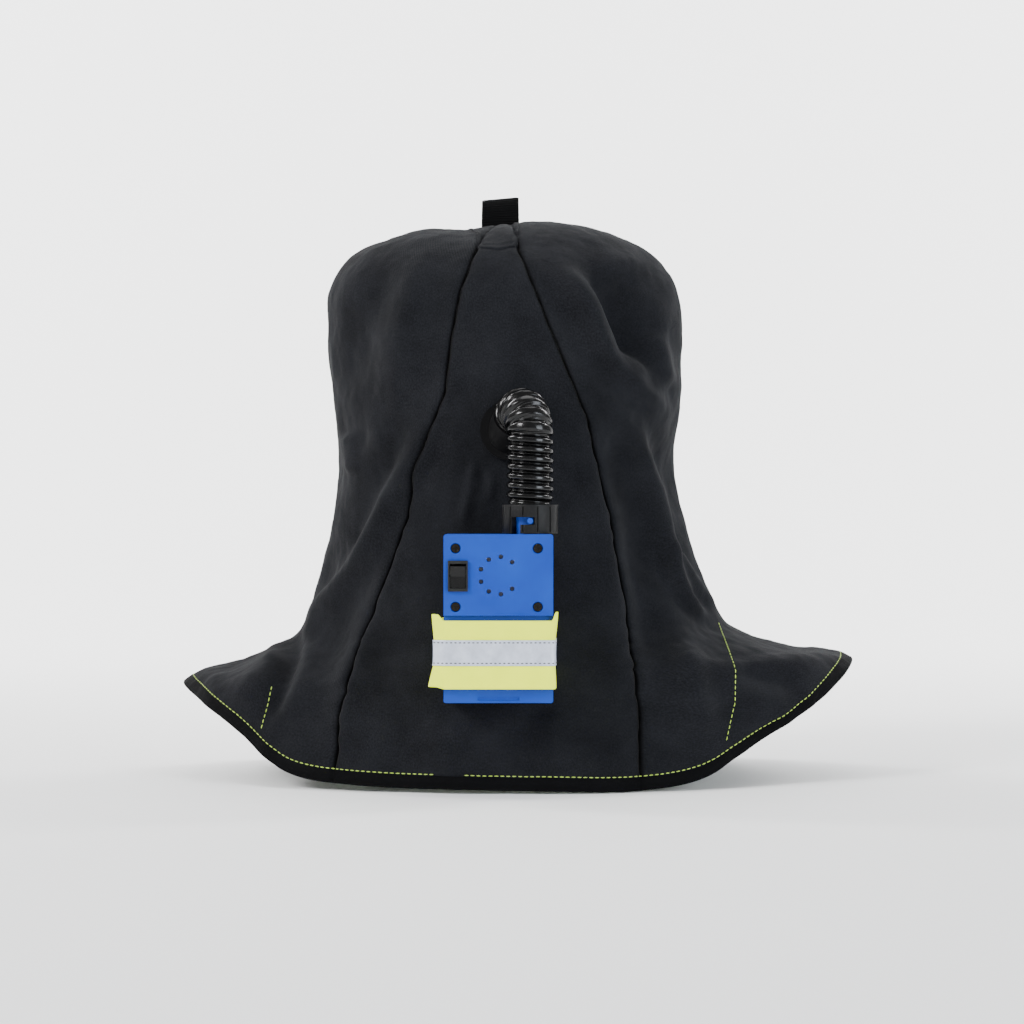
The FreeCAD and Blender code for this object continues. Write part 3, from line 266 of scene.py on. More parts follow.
def cloth_material(name, dark, light, yarn, roughness=0.9, sheen=0.25, depth=0.25, slub=1.1):
    """Twill cloth: diagonal ribs cut by yarns, slubs, faint worn patches, and painted shade darkening the
    seam grooves.
    """
    material, tree, shader = start_material(
        name, roughness, Sheen_Weight=sheen, Sheen_Roughness=0.45, Specular_IOR_Level=0.06)
    where = place(tree, cloth=True)
    ribs = bands(tree, where, yarn * 1.6, "DIAGONAL", 0.6)
    yarns = bands(tree, where, yarn, "Y", 0.8)
    weave = math_node(tree, "MULTIPLY", ribs, yarns)
    slubs = speckle(tree, place(tree, True, (1, 0.75, 1)), slub, 4.0, 0.65)
    patches = speckle(tree, where, 34.0, 3.0, 0.6)
    fine = blend_colors(tree, slubs, dark, light, 0.36, 0.72)
    broad = blend_colors(tree, patches, tuple(0.72 * c for c in dark), tuple(0.9 * c for c in light), 0.3,
                         0.75)
    # Painted shade: the seam mask darkens the cloth's colour along the seam grooves.
    seam = add(tree, "ShaderNodeAttribute", attribute_name="seam").outputs["Fac"]
    shadow = blend_colors(tree, seam, dark, tuple(0.1 * c for c in dark), 0.0, 0.6)
    tree.links.new(mix_colors(tree, seam, mix_colors(tree, 0.42, fine, broad), shadow),
                   shader.inputs["Base Color"])
    tree.links.new(spread(tree, slubs, roughness - 0.12, min(1.0, roughness + 0.06)),
                   shader.inputs["Roughness"])
    wrinkles = speckle(tree, where, 9.0, 4.0, 0.6, 0.4)
    relief(tree, shader, (wrinkles, 0.35, 1.2), (slubs, 0.35, 0.4), (weave, 0.5, depth))
    return material


def webbing_material(name, dark, light, rib, roughness=0.7, sheen=0.15, direction="Y"):
    """Narrow woven tape with cross ribs and a herringbone of fine yarns."""
    material, tree, shader = start_material(
        name, roughness, Sheen_Weight=sheen, Sheen_Roughness=0.4, Specular_IOR_Level=0.1)
    where = place(tree, cloth=True)
    ribs = bands(tree, where, rib, direction, 0.3)
    yarns = bands(tree, where, rib * 0.55, "DIAGONAL", 0.2)
    wear = speckle(tree, where, 6.0)
    color = blend_colors(tree, math_node(tree, "MULTIPLY", ribs, wear), dark, light, 0.05, 0.6)
    tree.links.new(color, shader.inputs["Base Color"])
    tree.links.new(spread(tree, wear, roughness - 0.1, roughness + 0.12), shader.inputs["Roughness"])
    relief(tree, shader, (wear, 0.2, 0.5), (yarns, 0.25, 0.15), (ribs, 0.6, 0.3))
    return material


def plastic_material(name, dark, light, roughness=0.42, grain=0.9, coat=0.0, strength=0.2, specular=0.35):
    """Moulded plastic: fine spark-eroded grain, slight colour drift and rubbed patches."""
    material, tree, shader = start_material(
        name, roughness, Coat_Weight=coat, Coat_Roughness=0.2, Specular_IOR_Level=specular)
    where = place(tree, cloth=False)
    drift = speckle(tree, where, 26.0, 2.0)
    dust = speckle(tree, where, 3.2, 5.0, 0.7)
    color = mix_colors(tree, 0.25, blend_colors(tree, drift, dark, light),
                       blend_colors(tree, dust, dark, light))
    tree.links.new(color, shader.inputs["Base Color"])
    rubbed = math_node(tree, "MULTIPLY", drift, dust)
    tree.links.new(spread(tree, rubbed, roughness - 0.07, roughness + 0.16, 0.1, 0.45),
                   shader.inputs["Roughness"])
    pits = speckle(tree, where, grain, 2.0, 0.5)
    relief(tree, shader, (dust, 0.06, 0.3), (pits, strength, 0.12))
    return material


def metal_material(name, color, roughness=0.3, scratch=(1, 1, 0.05)):
    """Worked metal: fine directional scratches and faint stains."""
    material, tree, shader = start_material(name, roughness, Metallic=1.0)
    where = place(tree, cloth=False)
    lines = speckle(tree, place(tree, False, scratch), 0.25, 3.0)
    stains = speckle(tree, where, 7.0, 3.0)
    tone = blend_colors(tree, stains, tuple(0.75 * c for c in color), color)
    tree.links.new(tone, shader.inputs["Base Color"])
    tree.links.new(spread(tree, lines, roughness - 0.12, roughness + 0.18), shader.inputs["Roughness"])
    relief(tree, shader, (lines, 0.12, 0.05))
    return material


def hose_material():
    """Glossy black thermoplastic hose: moulding haze and faint scuffs on the ribs."""
    material, tree, shader = start_material(
        "hose_black", 0.16, Specular_IOR_Level=0.32)
    where = place(tree, cloth=False)
    haze = speckle(tree, where, 5.0, 4.0, 0.65)
    scuffs = speckle(tree, place(tree, False, (1, 1, 3)), 1.2, 3.0)
    tree.links.new(blend_colors(tree, haze, (0.0004, 0.0004, 0.0005), (0.0012, 0.0012, 0.0014)),
                   shader.inputs["Base Color"])
    tree.links.new(spread(tree, scuffs, 0.13, 0.30, 0.3, 0.8), shader.inputs["Roughness"])
    relief(tree, shader, (haze, 0.03, 0.4), (scuffs, 0.03, 0.1))
    return material


def thread_material(name, color):
    """Twisted sewing thread."""
    material, tree, shader = start_material(name, 0.6, Sheen_Weight=0.2, Specular_IOR_Level=0.4)
    twist = bands(tree, place(tree, False), 0.35, "DIAGONAL")
    tree.links.new(blend_colors(tree, twist, tuple(0.55 * c for c in color), color, 0.1, 0.7),
                   shader.inputs["Base Color"])
    relief(tree, shader, (twist, 0.4, 0.1))
    return material


def tape_material():
    """Retroreflective tape: a fine bead grid, smudges and a slight crinkle."""
    material, tree, shader = start_material("tape_silver", 0.5, Metallic=0.35, Specular_IOR_Level=0.5)
    where = place(tree, cloth=True)
    beads = add(tree, "ShaderNodeTexVoronoi", {"Vector": where, "Scale": 2.2}).outputs["Distance"]
    smudge = speckle(tree, where, 9.0, 4.0, 0.6)
    tree.links.new(blend_colors(tree, smudge, (0.42, 0.46, 0.55), (0.62, 0.66, 0.76), 0.25, 0.7),
                   shader.inputs["Base Color"])
    tree.links.new(spread(tree, smudge, 0.42, 0.62), shader.inputs["Roughness"])
    relief(tree, shader, (smudge, 0.25, 0.8), (beads, 0.2, 0.1))
    return material


def yellow_material():
    """Fluorescent woven strap: a crisp basket weave, with a painted glow from an emission that makes it
    brighter than the lamps light it.
    """
    material, tree, shader = start_material(
        "strap_yellow", 0.75, Sheen_Weight=0.2, Specular_IOR_Level=0.3, Emission_Strength=0.8)
    # Painted glow: the emission brightens the strap beyond what the lamps give.
    shader.inputs["Emission Color"].default_value = (0.75, 0.90, 0.0, 1)
    where = place(tree, cloth=True)
    over, under = bands(tree, where, 0.9, "X", 0.2), bands(tree, where, 0.9, "Y", 0.2)
    weave = math_node(tree, "MULTIPLY", over, under)
    shade = speckle(tree, where, 12.0, 3.0)
    color = mix_colors(tree, 0.4, blend_colors(tree, weave, (0.50, 0.58, 0.004), (0.74, 0.82, 0.010),
                                               0.05, 0.5),
                       blend_colors(tree, shade, (0.60, 0.68, 0.006), (0.80, 0.88, 0.014)))
    tree.links.new(color, shader.inputs["Base Color"])
    relief(tree, shader, (shade, 0.2, 0.8), (weave, 0.5, 0.25))
    return material


def lens_material():
    """Clear moulded window with a faint green tint and hairline scratches."""
    material, tree, shader = start_material(
        "lens_clear", 0.06, Transmission_Weight=0.9, IOR=1.49, Coat_Weight=0.3)
    scratches = speckle(tree, place(tree, False, (1, 1, 0.1)), 0.6, 3.0)
    tree.links.new(blend_colors(tree, scratches, (0.66, 0.78, 0.62), (0.76, 0.86, 0.72)),
                   shader.inputs["Base Color"])
    tree.links.new(spread(tree, scratches, 0.03, 0.12, 0.4, 0.8), shader.inputs["Roughness"])
    relief(tree, shader, (scratches, 0.02, 0.05))
    return material


def make_looks():
    """Every material, by the record's slot name."""
    return {
        "hood_cloth": cloth_material("hood_cloth", (0.0040, 0.0044, 0.0056), (0.0170, 0.0178, 0.0212),
                                     0.55, 0.95, 0.03),
        "hem_tape": cloth_material("hem_tape", (0.0015, 0.0015, 0.0018), (0.0040, 0.0040, 0.0048), 0.45,
                                   0.85, 0.0),
        "webbing_black": webbing_material("webbing_black", (0.0010, 0.0010, 0.0012),
                                          (0.0030, 0.0030, 0.0032), 1.3, 0.85, 0.0),
        "lens_clear": lens_material(),
        "trim_black": plastic_material("trim_black", (0.0018, 0.0018, 0.002), (0.0045, 0.0045, 0.005), 0.5,
                                       specular=0.2),
        "unit_blue": plastic_material("unit_blue", (0.0002, 0.034, 0.29), (0.0005, 0.048, 0.36), 0.5, 1.1,
                                      0.0, 0.3, 0.3),
        "screw_black": metal_material("screw_black", (0.030, 0.027, 0.024), 0.4),
        "switch_grey": plastic_material("switch_grey", (0.007, 0.0075, 0.0075), (0.012, 0.013, 0.013), 0.5,
                                        specular=0.25),
        "switch_black": plastic_material("switch_black", (0.0006, 0.0006, 0.0007),
                                         (0.0015, 0.0015, 0.0017), 0.22,
                                         0.6, specular=0.25),
        "hose_black": hose_material(),
        "strap_yellow": yellow_material(),
        "tape_silver": tape_material(),
        "pad_foam": webbing_material("pad_foam", (0.008, 0.008, 0.009), (0.022, 0.022, 0.024), 2.4),
        "filter_foam": plastic_material("filter_foam", (0.55, 0.55, 0.52), (0.72, 0.72, 0.68), 0.9, 1.5,
                                        0.0, 0.6),
        "inner_plastic": plastic_material("inner_plastic", (0.05, 0.05, 0.055), (0.07, 0.07, 0.075), 0.45),
        "impeller_white": plastic_material("impeller_white", (0.62, 0.62, 0.60), (0.75, 0.75, 0.73), 0.35),
        "steel": metal_material("steel", (0.56, 0.56, 0.57)),
        "board_green": plastic_material("board_green", (0.01, 0.12, 0.04), (0.02, 0.18, 0.07), 0.3, 2.0,
                                        0.3),
        "cell_wrap": plastic_material("cell_wrap", (0.02, 0.25, 0.22), (0.03, 0.33, 0.29), 0.25, 3.0, 0.4),
        "brass": metal_material("brass", (0.75, 0.58, 0.25)),
        "cap_plastic": plastic_material("cap_plastic", (0.62, 0.63, 0.62), (0.74, 0.75, 0.74), 0.35),
        "band_plastic": plastic_material("band_plastic", (0.025, 0.025, 0.028), (0.04, 0.04, 0.044), 0.42),
        "sweat_cloth": webbing_material("sweat_cloth", (0.02, 0.02, 0.023), (0.05, 0.05, 0.055), 1.8,
                                        0.95, 0.5),
        "duct_plastic": plastic_material("duct_plastic", (0.06, 0.06, 0.065), (0.09, 0.09, 0.10), 0.4),
        "seal_rubber": plastic_material("seal_rubber", (0.0012, 0.0012, 0.0014), (0.003, 0.003, 0.0034),
                                        0.6,
                                        specular=0.1),
    }


# ---------------------------------------------------------------- the hood's base form

# Height, half width left and right, depth back and front, and how pointed the two ends are.
LEVELS = np.array([
    (0.1345, 0.000, 0.000, 0.000, 0.000, 1.0),
    (0.1325, 0.038, 0.052, 0.040, 0.050, 1.0),
    (0.1240, 0.080, 0.086, 0.076, 0.081, 1.0),
    (0.1060, 0.117, 0.114, 0.101, 0.103, 1.0),
    (0.0880, 0.129, 0.124, 0.116, 0.118, 1.0),
    (0.0520, 0.131, 0.130, 0.127, 0.131, 1.0),
    (0.0000, 0.128, 0.131, 0.131, 0.140, 1.0),
    (-0.0460, 0.122, 0.122, 0.129, 0.147, 1.0),
    (-0.0900, 0.127, 0.135, 0.132, 0.152, 1.0),
    (-0.1440, 0.143, 0.155, 0.139, 0.158, 1.05),
    (-0.1620, 0.151, 0.165, 0.142, 0.160, 1.1),
    (-0.1710, 0.158, 0.184, 0.143, 0.161, 1.15),
    (-0.1800, 0.174, 0.220, 0.144, 0.162, 1.2),
    (-0.1890, 0.194, 0.257, 0.146, 0.164, 1.25),
    (-0.2070, 0.238, 0.272, 0.149, 0.166, 1.3),
    (-0.2450, 0.252, 0.266, 0.154, 0.170, 1.3),
    (-0.2900, 0.256, 0.268, 0.160, 0.176, 1.3),
])
# The lower edge at the back and front, (x, z) from the left wing's tip to the right wing's.
HEM_POINTS = np.array([
    (-0.238, -0.207), (-0.211, -0.2215), (-0.189, -0.236), (-0.173, -0.2500), (-0.149, -0.2655),
    (-0.100, -0.2690), (-0.035, -0.2700), (0.030, -0.2710), (0.085, -0.2730), (0.138, -0.2680),
    (0.165, -0.2500),
    (0.203, -0.2290), (0.230, -0.2120), (0.258, -0.1890),
])


def smooth_line(points, rounds=3):
    """A line of (x, z) points with its corners cut away."""
    for _ in range(rounds):
        first, second = 0.75 * points[:-1] + 0.25 * points[1:], 0.25 * points[:-1] + 0.75 * points[1:]
        cut_corners = np.stack([first, second], axis=1).reshape(-1, 2)
        points = np.vstack([points[:1], cut_corners, points[-1:]])
    return points


HEM = smooth_line(HEM_POINTS)
# The two long back seams, (x, z) from the crown down.
LEFT_SEAM = np.array([
    (-0.020, 0.108), (-0.031, 0.076), (-0.038, 0.042), (-0.042, 0.004), (-0.054, -0.025), (-0.065, -0.055),
    (-0.070, -0.083), (-0.081, -0.113), (-0.101, -0.176), (-0.115, -0.238), (-0.124, -0.290),
])
RIGHT_SEAM = np.array([
    (0.010, 0.106), (0.024, 0.070), (0.040, 0.029), (0.059, -0.017), (0.070, -0.061), (0.078, -0.104),
    (0.086, -0.151), (0.089, -0.182), (0.092, -0.219), (0.096, -0.290),
])
FRONT_SEAM = 0.52
ROWS, TURNS = 360, 720
CLOTH = 0.0025


def along_levels(controls, steps=24):
    """Smooth curves through control points, one curve per column of the array (level, column, xyz)."""
    chords = np.maximum(np.linalg.norm(np.diff(controls, axis=0), axis=2), 1e-6)[..., None]
    slopes = np.diff(controls, axis=0) / chords
    tangents = np.zeros_like(controls)
    tangents[1:-1] = (slopes[1:] * chords[:-1] + slopes[:-1] * chords[1:]) / (chords[1:] + chords[:-1])
    tangents[0] = slopes[0] * np.array([1, 1, 0])
    tangents[-1] = slopes[-1]
    pieces = []
    for level in range(len(controls) - 1):
        for t in np.linspace(0, 1, steps, endpoint=False):
            h00, h10 = 2 * t**3 - 3 * t**2 + 1, t**3 - 2 * t**2 + t
            h01, h11 = 3 * t**2 - 2 * t**3, t**3 - t**2
            pieces.append(h00 * controls[level] + h10 * chords[level] * tangents[level]
                          + h01 * controls[level + 1] + h11 * chords[level] * tangents[level + 1])
    pieces.append(controls[-1])
    return np.array(pieces)


def make_base():
    """The smooth hood as a grid (row, turn, xyz) from the crown's middle to the hem, and its normals."""
    turns = np.linspace(0, 2 * math.pi, TURNS, endpoint=False)
    across, along = np.cos(turns), np.sin(turns)
    controls = []
    for height, left, right, back, front, point in LEVELS:
        x = np.where(across > 0, right, left) * across
        y = np.where(along > 0, front, back) * np.sign(along) * np.abs(along) ** point
        controls.append(np.stack([x, y, np.full(TURNS, height)], axis=1))
    curves = along_levels(np.array(controls))
    grid = np.zeros((ROWS, TURNS, 3))
    for turn in range(TURNS):
        curve = curves[:, turn]
        over = curve[:, 2] - np.interp(curve[:, 0], HEM[:, 0], HEM[:, 1])
        end = int(np.argmax(over < 0))
        share = over[end - 1] / (over[end - 1] - over[end])
        last = curve[end - 1] + share * (curve[end] - curve[end - 1])
        grid[:, turn] = even_points(np.vstack([curve[:end], last]), ROWS)
    dip = 0.0056 * np.exp(-((grid[..., 0] + 0.021) / 0.029) ** 2)
    grid[..., 2] -= dip * smooth(grid[..., 2], 0.095, 0.128)
    down = np.gradient(grid, axis=0)
    wrapped = np.concatenate([grid[:, -1:], grid, grid[:, :1]], axis=1)
    around = (wrapped[:, 2:] - wrapped[:, :-2]) / 2
    normals = unit(np.cross(down, around))
    normals[0] = (0, 0, 1)
    return grid, normals


BASE, NORMALS = make_base()


def sample(grid, turn, row):
    """The base grid's value at any turn in radians and any row share from 0 to 1."""
    u = (np.asarray(turn) / (2 * math.pi) * TURNS) % TURNS
    v = np.clip(np.asarray(row), 0, 1) * (ROWS - 1)
    u0, v0 = np.floor(u).astype(int), np.minimum(np.floor(v).astype(int), ROWS - 2)
    fu, fv = (u - u0)[..., None], (v - v0)[..., None]
    u0, u1 = u0 % TURNS, (u0 + 1) % TURNS
    top = grid[v0, u0] * (1 - fu) + grid[v0, u1] * fu
    low = grid[v0 + 1, u0] * (1 - fu) + grid[v0 + 1, u1] * fu
    return top * (1 - fv) + low * fv


def seam_turns(line, rows):
    """The turn at which a back seam lies in each row."""
    turns = np.full(len(rows), BACK)
    side_half = LEVELS[:, 2] if line[-1, 0] > 0 else LEVELS[:, 1]
    for _ in range(14):
        here = sample(BASE, turns, rows)
        wanted = np.interp(-here[:, 2], -line[:, 1], line[:, 0])
        level_half = np.interp(-here[:, 2], -LEVELS[:, 0], side_half)
        ratio = np.clip(wanted / np.maximum(level_half, 0.03), -0.95, 0.95)
        turns = 0.5 * turns + 0.5 * (2 * math.pi - np.arccos(ratio))
    first = int(np.argmax(sample(BASE, turns, rows)[:, 2] < line[0, 1]))
    turns[:first] = turns[first]
    return turns


# ---------------------------------------------------------------- folds in the cloth

# Each fold: its line on the back as (x, z), half width, height at its middle (negative for a valley).
BACK_FOLDS = [
    ([(0.036, 0.098), (0.071, 0.032), (0.109, -0.002), (0.123, -0.017)], 0.0070, 0.0042),
    ([(0.047, 0.092), (0.081, 0.039), (0.118, 0.004)], 0.0060, 0.0030),
    ([(0.058, 0.098), (0.082, 0.060), (0.102, 0.030)], 0.0110, -0.0060),
    ([(0.088, 0.100), (0.092, 0.055), (0.098, 0.020)], 0.0160, -0.0080),
    ([(0.106, 0.051), (0.121, 0.008)], 0.0070, 0.0040),
    ([(0.090, -0.014), (0.112, -0.079), (0.114, -0.104), (0.143, -0.155)], 0.0075, 0.0045),
    ([(0.104, -0.020), (0.122, -0.080), (0.138, -0.128)], 0.0080, -0.0030),
    ([(0.112, -0.096), (0.118, -0.122), (0.130, -0.142), (0.154, -0.160)], 0.0036, 0.0028),
    ([(0.124, -0.100), (0.133, -0.124), (0.146, -0.140), (0.156, -0.154)], 0.0034, 0.0026),
    ([(0.072, -0.020), (0.088, -0.080), (0.100, -0.150), (0.106, -0.215)], 0.0110, -0.0030),
    ([(-0.050, -0.011), (-0.078, -0.058), (-0.100, -0.104), (-0.137, -0.148), (-0.153, -0.198)], 0.0085,
     0.0046),
    ([(-0.066, -0.020), (-0.096, -0.075), (-0.122, -0.118), (-0.160, -0.160)], 0.0090, -0.0042),
    ([(-0.115, -0.021), (-0.109, -0.055)], 0.0060, 0.0032),
    ([(-0.090, -0.150), (-0.108, -0.200), (-0.112, -0.245)], 0.0100, 0.0030),
    ([(-0.146, -0.166), (-0.171, -0.229)], 0.0060, -0.0036),
    ([(-0.160, -0.180), (-0.196, -0.218)], 0.0090, 0.0034),
    ([(-0.019, -0.039), (-0.030, -0.093)], 0.0035, 0.0013),
    ([(-0.008, -0.049), (-0.010, -0.074)], 0.0030, 0.0011),
    ([(0.030, -0.215), (0.038, -0.262)], 0.0120, 0.0030),
    ([(-0.035, -0.222), (-0.045, -0.262)], 0.0130, 0.0028),
    ([(0.128, -0.170), (0.140, -0.245)], 0.0110, 0.0040),
    ([(0.165, -0.190), (0.215, -0.205)], 0.0090, -0.0034),
    ([(-0.080, 0.100), (-0.104, 0.050), (-0.112, 0.000)], 0.0130, -0.0030),
    ([(-0.060, 0.108), (-0.074, 0.040), (-0.078, -0.020)], 0.0110, 0.0022),
]
# The same for the front, and how strongly the back's folds show.
FOLD_STRENGTH = 1.5
FRONT_FOLDS = [
    ([(-0.104, 0.060), (-0.112, -0.020), (-0.120, -0.100), (-0.150, -0.170)], 0.0090, 0.0040),
    ([(0.106, 0.070), (0.114, -0.010), (0.124, -0.110), (0.160, -0.180)], 0.0090, 0.0045),
    ([(-0.060, -0.145), (-0.086, -0.200), (-0.100, -0.255)], 0.0120, 0.0045),
    ([(0.050, -0.145), (0.070, -0.200), (0.082, -0.258)], 0.0120, 0.0042),
    ([(-0.005, -0.150), (-0.012, -0.255)], 0.0150, 0.0036),
    ([(-0.050, 0.110), (-0.070, 0.060)], 0.0100, 0.0028),
    ([(0.040, 0.112), (0.066, 0.062)], 0.0100, 0.0026),
]


def fold_height(x, z, line, width, height):
    """How far one fold lifts the cloth at each (x, z)."""
    line = np.array(line)
    run = np.concatenate([[0], np.cumsum(np.linalg.norm(np.diff(line, axis=0), axis=1))])
    nearest = np.full(x.shape, 1e9)
    travelled = np.zeros(x.shape)
    for (ax, az), (bx, bz), start in zip(line[:-1], line[1:], run[:-1]):
        length = math.hypot(bx - ax, bz - az)
        t = np.clip(((x - ax) * (bx - ax) + (z - az) * (bz - az)) / length**2, 0, 1)
        distance = np.hypot(x - ax - t * (bx - ax), z - az - t * (bz - az))
        closer = distance < nearest
        nearest = np.where(closer, distance, nearest)
        travelled = np.where(closer, start + t * length, travelled)
    share = travelled / run[-1]
    taper = smooth(share, -0.02, 0.22) * (1 - smooth(share, 0.72, 1.02))
    profile = np.exp(-(nearest / width) ** 2) - 0.35 * np.exp(-((nearest - 2.0 * width) / width) ** 2)
    return height * taper * profile


def keep_flat(points):
    """0 where something is fixed to the cloth, such as the port, unit and window, 1 elsewhere."""
    x, y, z = points[:, 0], points[:, 1], points[:, 2]
    port = centre_of("port_flange")
    free = smooth(np.hypot(x - port.x, z - port.z), 0.022, 0.040)
    low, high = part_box("unit_pad")
    beyond = np.maximum.reduce([low.x - x, x - high.x, low.z - z, z - high.z])
    free = free * smooth(beyond, 0.000, 0.022)
    free = np.where(y < 0, free, 1.0)
    low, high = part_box("window_frame")
    beyond = np.maximum.reduce([low.x - x, x - high.x, low.z - z, z - high.z])
    return np.where(y > 0, smooth(beyond, -0.004, 0.020), free)


def cloth_lift(points):
    """How far folds and slackness move the cloth along its normal."""
    x, y, z = points[:, 0], points[:, 1], points[:, 2]
    behind = smooth(-y, -0.005, 0.03)
    lift = np.zeros(len(points))
    for line, width, height in BACK_FOLDS:
        lift += behind * FOLD_STRENGTH * fold_height(x, z, line, width, height)
    for line, width, height in FRONT_FOLDS:
        lift += (1 - behind) * fold_height(x, z, line, width, height)
    slack = 0.4 + 0.6 * smooth(-z, -0.02, 0.16)
    lift += slack * 0.0030 * fractal(points * np.array([1.0, 1.0, 0.55]), 0.060, 2, 3.1)
    lift += 0.0009 * fractal(points * np.array([1.0, 1.0, 0.7]), 0.018, 3, 8.4)
    flutes = smooth(-z, 0.19, 0.26)
    lift += flutes * 0.0030 * fractal(points * np.array([1.0, 1.0, 0.15]), 0.040, 1, 5.5)
    return lift * keep_flat(points)


# How deep and wide the groove at a seam is, and how high the rolled allowance beside it stands.
SEAM_DEPTH, SEAM_WIDTH, SEAM_ROLL = 0.0024, 0.0015, 0.0004


def make_panel(name, start, end, columns, skip=None):
    """One hood panel between two seams, each given as its turn in every row."""
    rows = len(start)
    shares = np.linspace(0, 1, columns)
    turns = start[:, None] + (end - start)[:, None] * shares[None, :]
    levels = np.broadcast_to(np.linspace(0, 1, rows)[:, None], turns.shape)
    base = sample(BASE, turns, levels)
    normals = unit(sample(NORMALS, turns, levels))
    width = np.linalg.norm(np.diff(base, axis=1), axis=2).sum(axis=1)
    drop = lengths_along(base[:, columns // 2])
    points = base.reshape(-1, 3)
    lift = cloth_lift(points).reshape(rows, columns)
    edge = np.minimum(shares[None, :], 1 - shares[None, :]) * width[:, None]
    pucker = 1 + 0.35 * np.sin(levels * 150 + 2.0 * np.sin(levels * 41))
    lift -= SEAM_DEPTH * pucker * np.exp(-(edge / SEAM_WIDTH) ** 2)
    lift += SEAM_ROLL * np.exp(-((edge - 0.0065) / 0.0045) ** 2)
    moved = (base + normals * lift[..., None]).reshape(-1, 3)
    uvs = np.stack([((shares[None, :] - 0.5) * width[:, None]).ravel(), np.repeat(-drop, columns)], axis=1)
    faces = grid_faces(rows, columns, flip=True)
    if skip is not None:
        middle = moved[np.array(faces)].mean(axis=1)
        faces = [face for face, gone in zip(faces, skip(middle)) if not gone]
    panel = new_mesh(name, moved, faces, uvs)
    thicken(panel, CLOTH)
    # A mask of the seam grooves, used to paint shade into the cloth's colour there.
    seam = panel.data.attributes.new("seam", "FLOAT", "POINT")
    seam.data.foreach_set("value", np.exp(-(edge / 0.0014) ** 2).astype(np.float32).ravel())
    panel["cut"] = [float(width.max()), float(drop[-1])]
    return panel, moved.reshape(rows, columns, 3), normals


def over_window(centres):
    """Which points lie inside the window's opening, up to the middle of its frame's rim."""
    low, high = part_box("window_lens")
    rim = 0.004
    x, z = centres[:, 0], centres[:, 2]
    return (low.x - rim < x) & (x < high.x + rim) & (low.z - rim < z) & (z < high.z + rim)


def make_hood(looks):
    """The four long panels, each one sheet of cloth between its seams."""
    rows = np.linspace(0, 1, 250)
    left, right = seam_turns(LEFT_SEAM, rows), seam_turns(RIGHT_SEAM, rows)
    front_left = np.full(len(rows), HALF_TURN - FRONT_SEAM)
    front_right = np.full(len(rows), 2 * HALF_TURN + FRONT_SEAM)
    made = {}
    for name, start, end, columns, skip, replaced in (
        ("hood_back", left, right, 110, None, ("hood_back_panel",)),
        ("hood_right_side", right, front_right, 130, None, ("hood_right_panel", "cape_right_wing")),
        ("hood_front", front_right - 2 * HALF_TURN, front_left, 140, over_window, ("hood_front_panel",)),
        ("hood_left_side", front_left, left, 130, None, ("hood_left_panel", "cape_left_wing")),
    ):
        panel, points, normals = make_panel(name, start, end, columns, skip)
        finish_piece(panel, "hood", looks["hood_cloth"], "hood_cloth", *replaced)
        made[name] = (panel, points, normals)
    return made


# ---------------------------------------------------------------- hem, seams and stitches

def hem_line(made):
    """The hood's lower edge all round, with the way down and out at each point."""
    edge, down, out = [], [], []
    for name in ("hood_back", "hood_right_side", "hood_front", "hood_left_side"):
        _, points, normals = made[name]
        edge.append(points[-1, :-1])
        down.append(unit(points[-1, :-1] - points[-6, :-1]))
        out.append(normals[-1, :-1])
    return np.vstack(edge), np.vstack(down), np.vstack(out)


def make_hem(made, looks):
    """Binding tape folded round the lower edge, with its overlapped ends at the back."""
    edge, down, out = hem_line(made)
    height, thick = 0.0084, 0.0019
    section = [(-1.0, 0.55), (-0.97, 1.0), (-0.5, 1.12), (-0.08, 1.05), (0.06, 0.55), (0.10, 0.0),
               (0.06, -0.55), (-0.08, -1.05), (-0.5, -1.12), (-0.97, -1.0), (-1.0, -0.55)]
    middle = edge - out * CLOTH / 2
    ripple = fractal(edge, 0.012, 2, 1.9)[:, None]
    overlap = np.exp(-(((edge[:, 0] + 0.036) / 0.011) ** 4))[:, None] * (edge[:, 1:2] < 0)
    rings = []
    for a, b in section:
        swell = 1 + 0.10 * ripple + 0.45 * overlap * (b > 0)
        rings.append(middle + down * height * a * (1 + 0.05 * ripple) + out * thick * b * swell)
    points = np.stack(rings, axis=1)
    run = lengths_along(edge)
    uvs = np.stack([np.repeat(run, len(section)),
                    np.tile(np.linspace(0, 0.024, len(section)), len(edge))], axis=1)
    faces = grid_faces(len(edge), len(section), closed_rows=True, closed_columns=True)
    hem = face_outward(new_mesh("hem_tape_binding", points.reshape(-1, 3), faces, uvs))
    return finish_piece(hem, "hood", looks["hem_tape"], "hem_tape", "hem_binding")


def stitch_mesh(name, lines, length, gap, radius, lifts):
    """Thread along several lines, as separate rounded stitches that dip into the cloth at both ends."""
    points, faces = [], []
    for line, normals in lines:
        run = lengths_along(line)
        start = gap
        while start + length < run[-1]:
            at = np.linspace(start, start + length, 6)
            middle = np.stack([np.interp(at, run, line[:, k]) for k in range(3)], axis=1)
            up = unit(np.stack([np.interp(at, run, normals[:, k]) for k in range(3)], axis=1))
            along = unit(np.gradient(middle, axis=0))
            side = unit(np.cross(along, up))
            arch = np.sin(np.linspace(0, math.pi, 6)) * 0.8 + 0.2
            for ring in range(6):
                size = radius * (0.55 + 0.45 * arch[ring])
                centre = middle[ring] + up[ring] * (lifts * arch[ring] - radius * 0.4)
                for corner in range(6):
                    angle = corner * math.pi / 3
                    turned = math.cos(angle) * side[ring] + math.sin(angle) * up[ring]
                    points.append(centre + size * turned)
            first = len(points) - 36
            faces += [tuple(first + i for i in face) for face in grid_faces(6, 6, closed_columns=True)]
            faces.append(tuple(first + i for i in range(6)))
            faces.append(tuple(first + 30 + i for i in reversed(range(6))))
            start += length + gap
    return face_outward(new_mesh(name, points, faces))


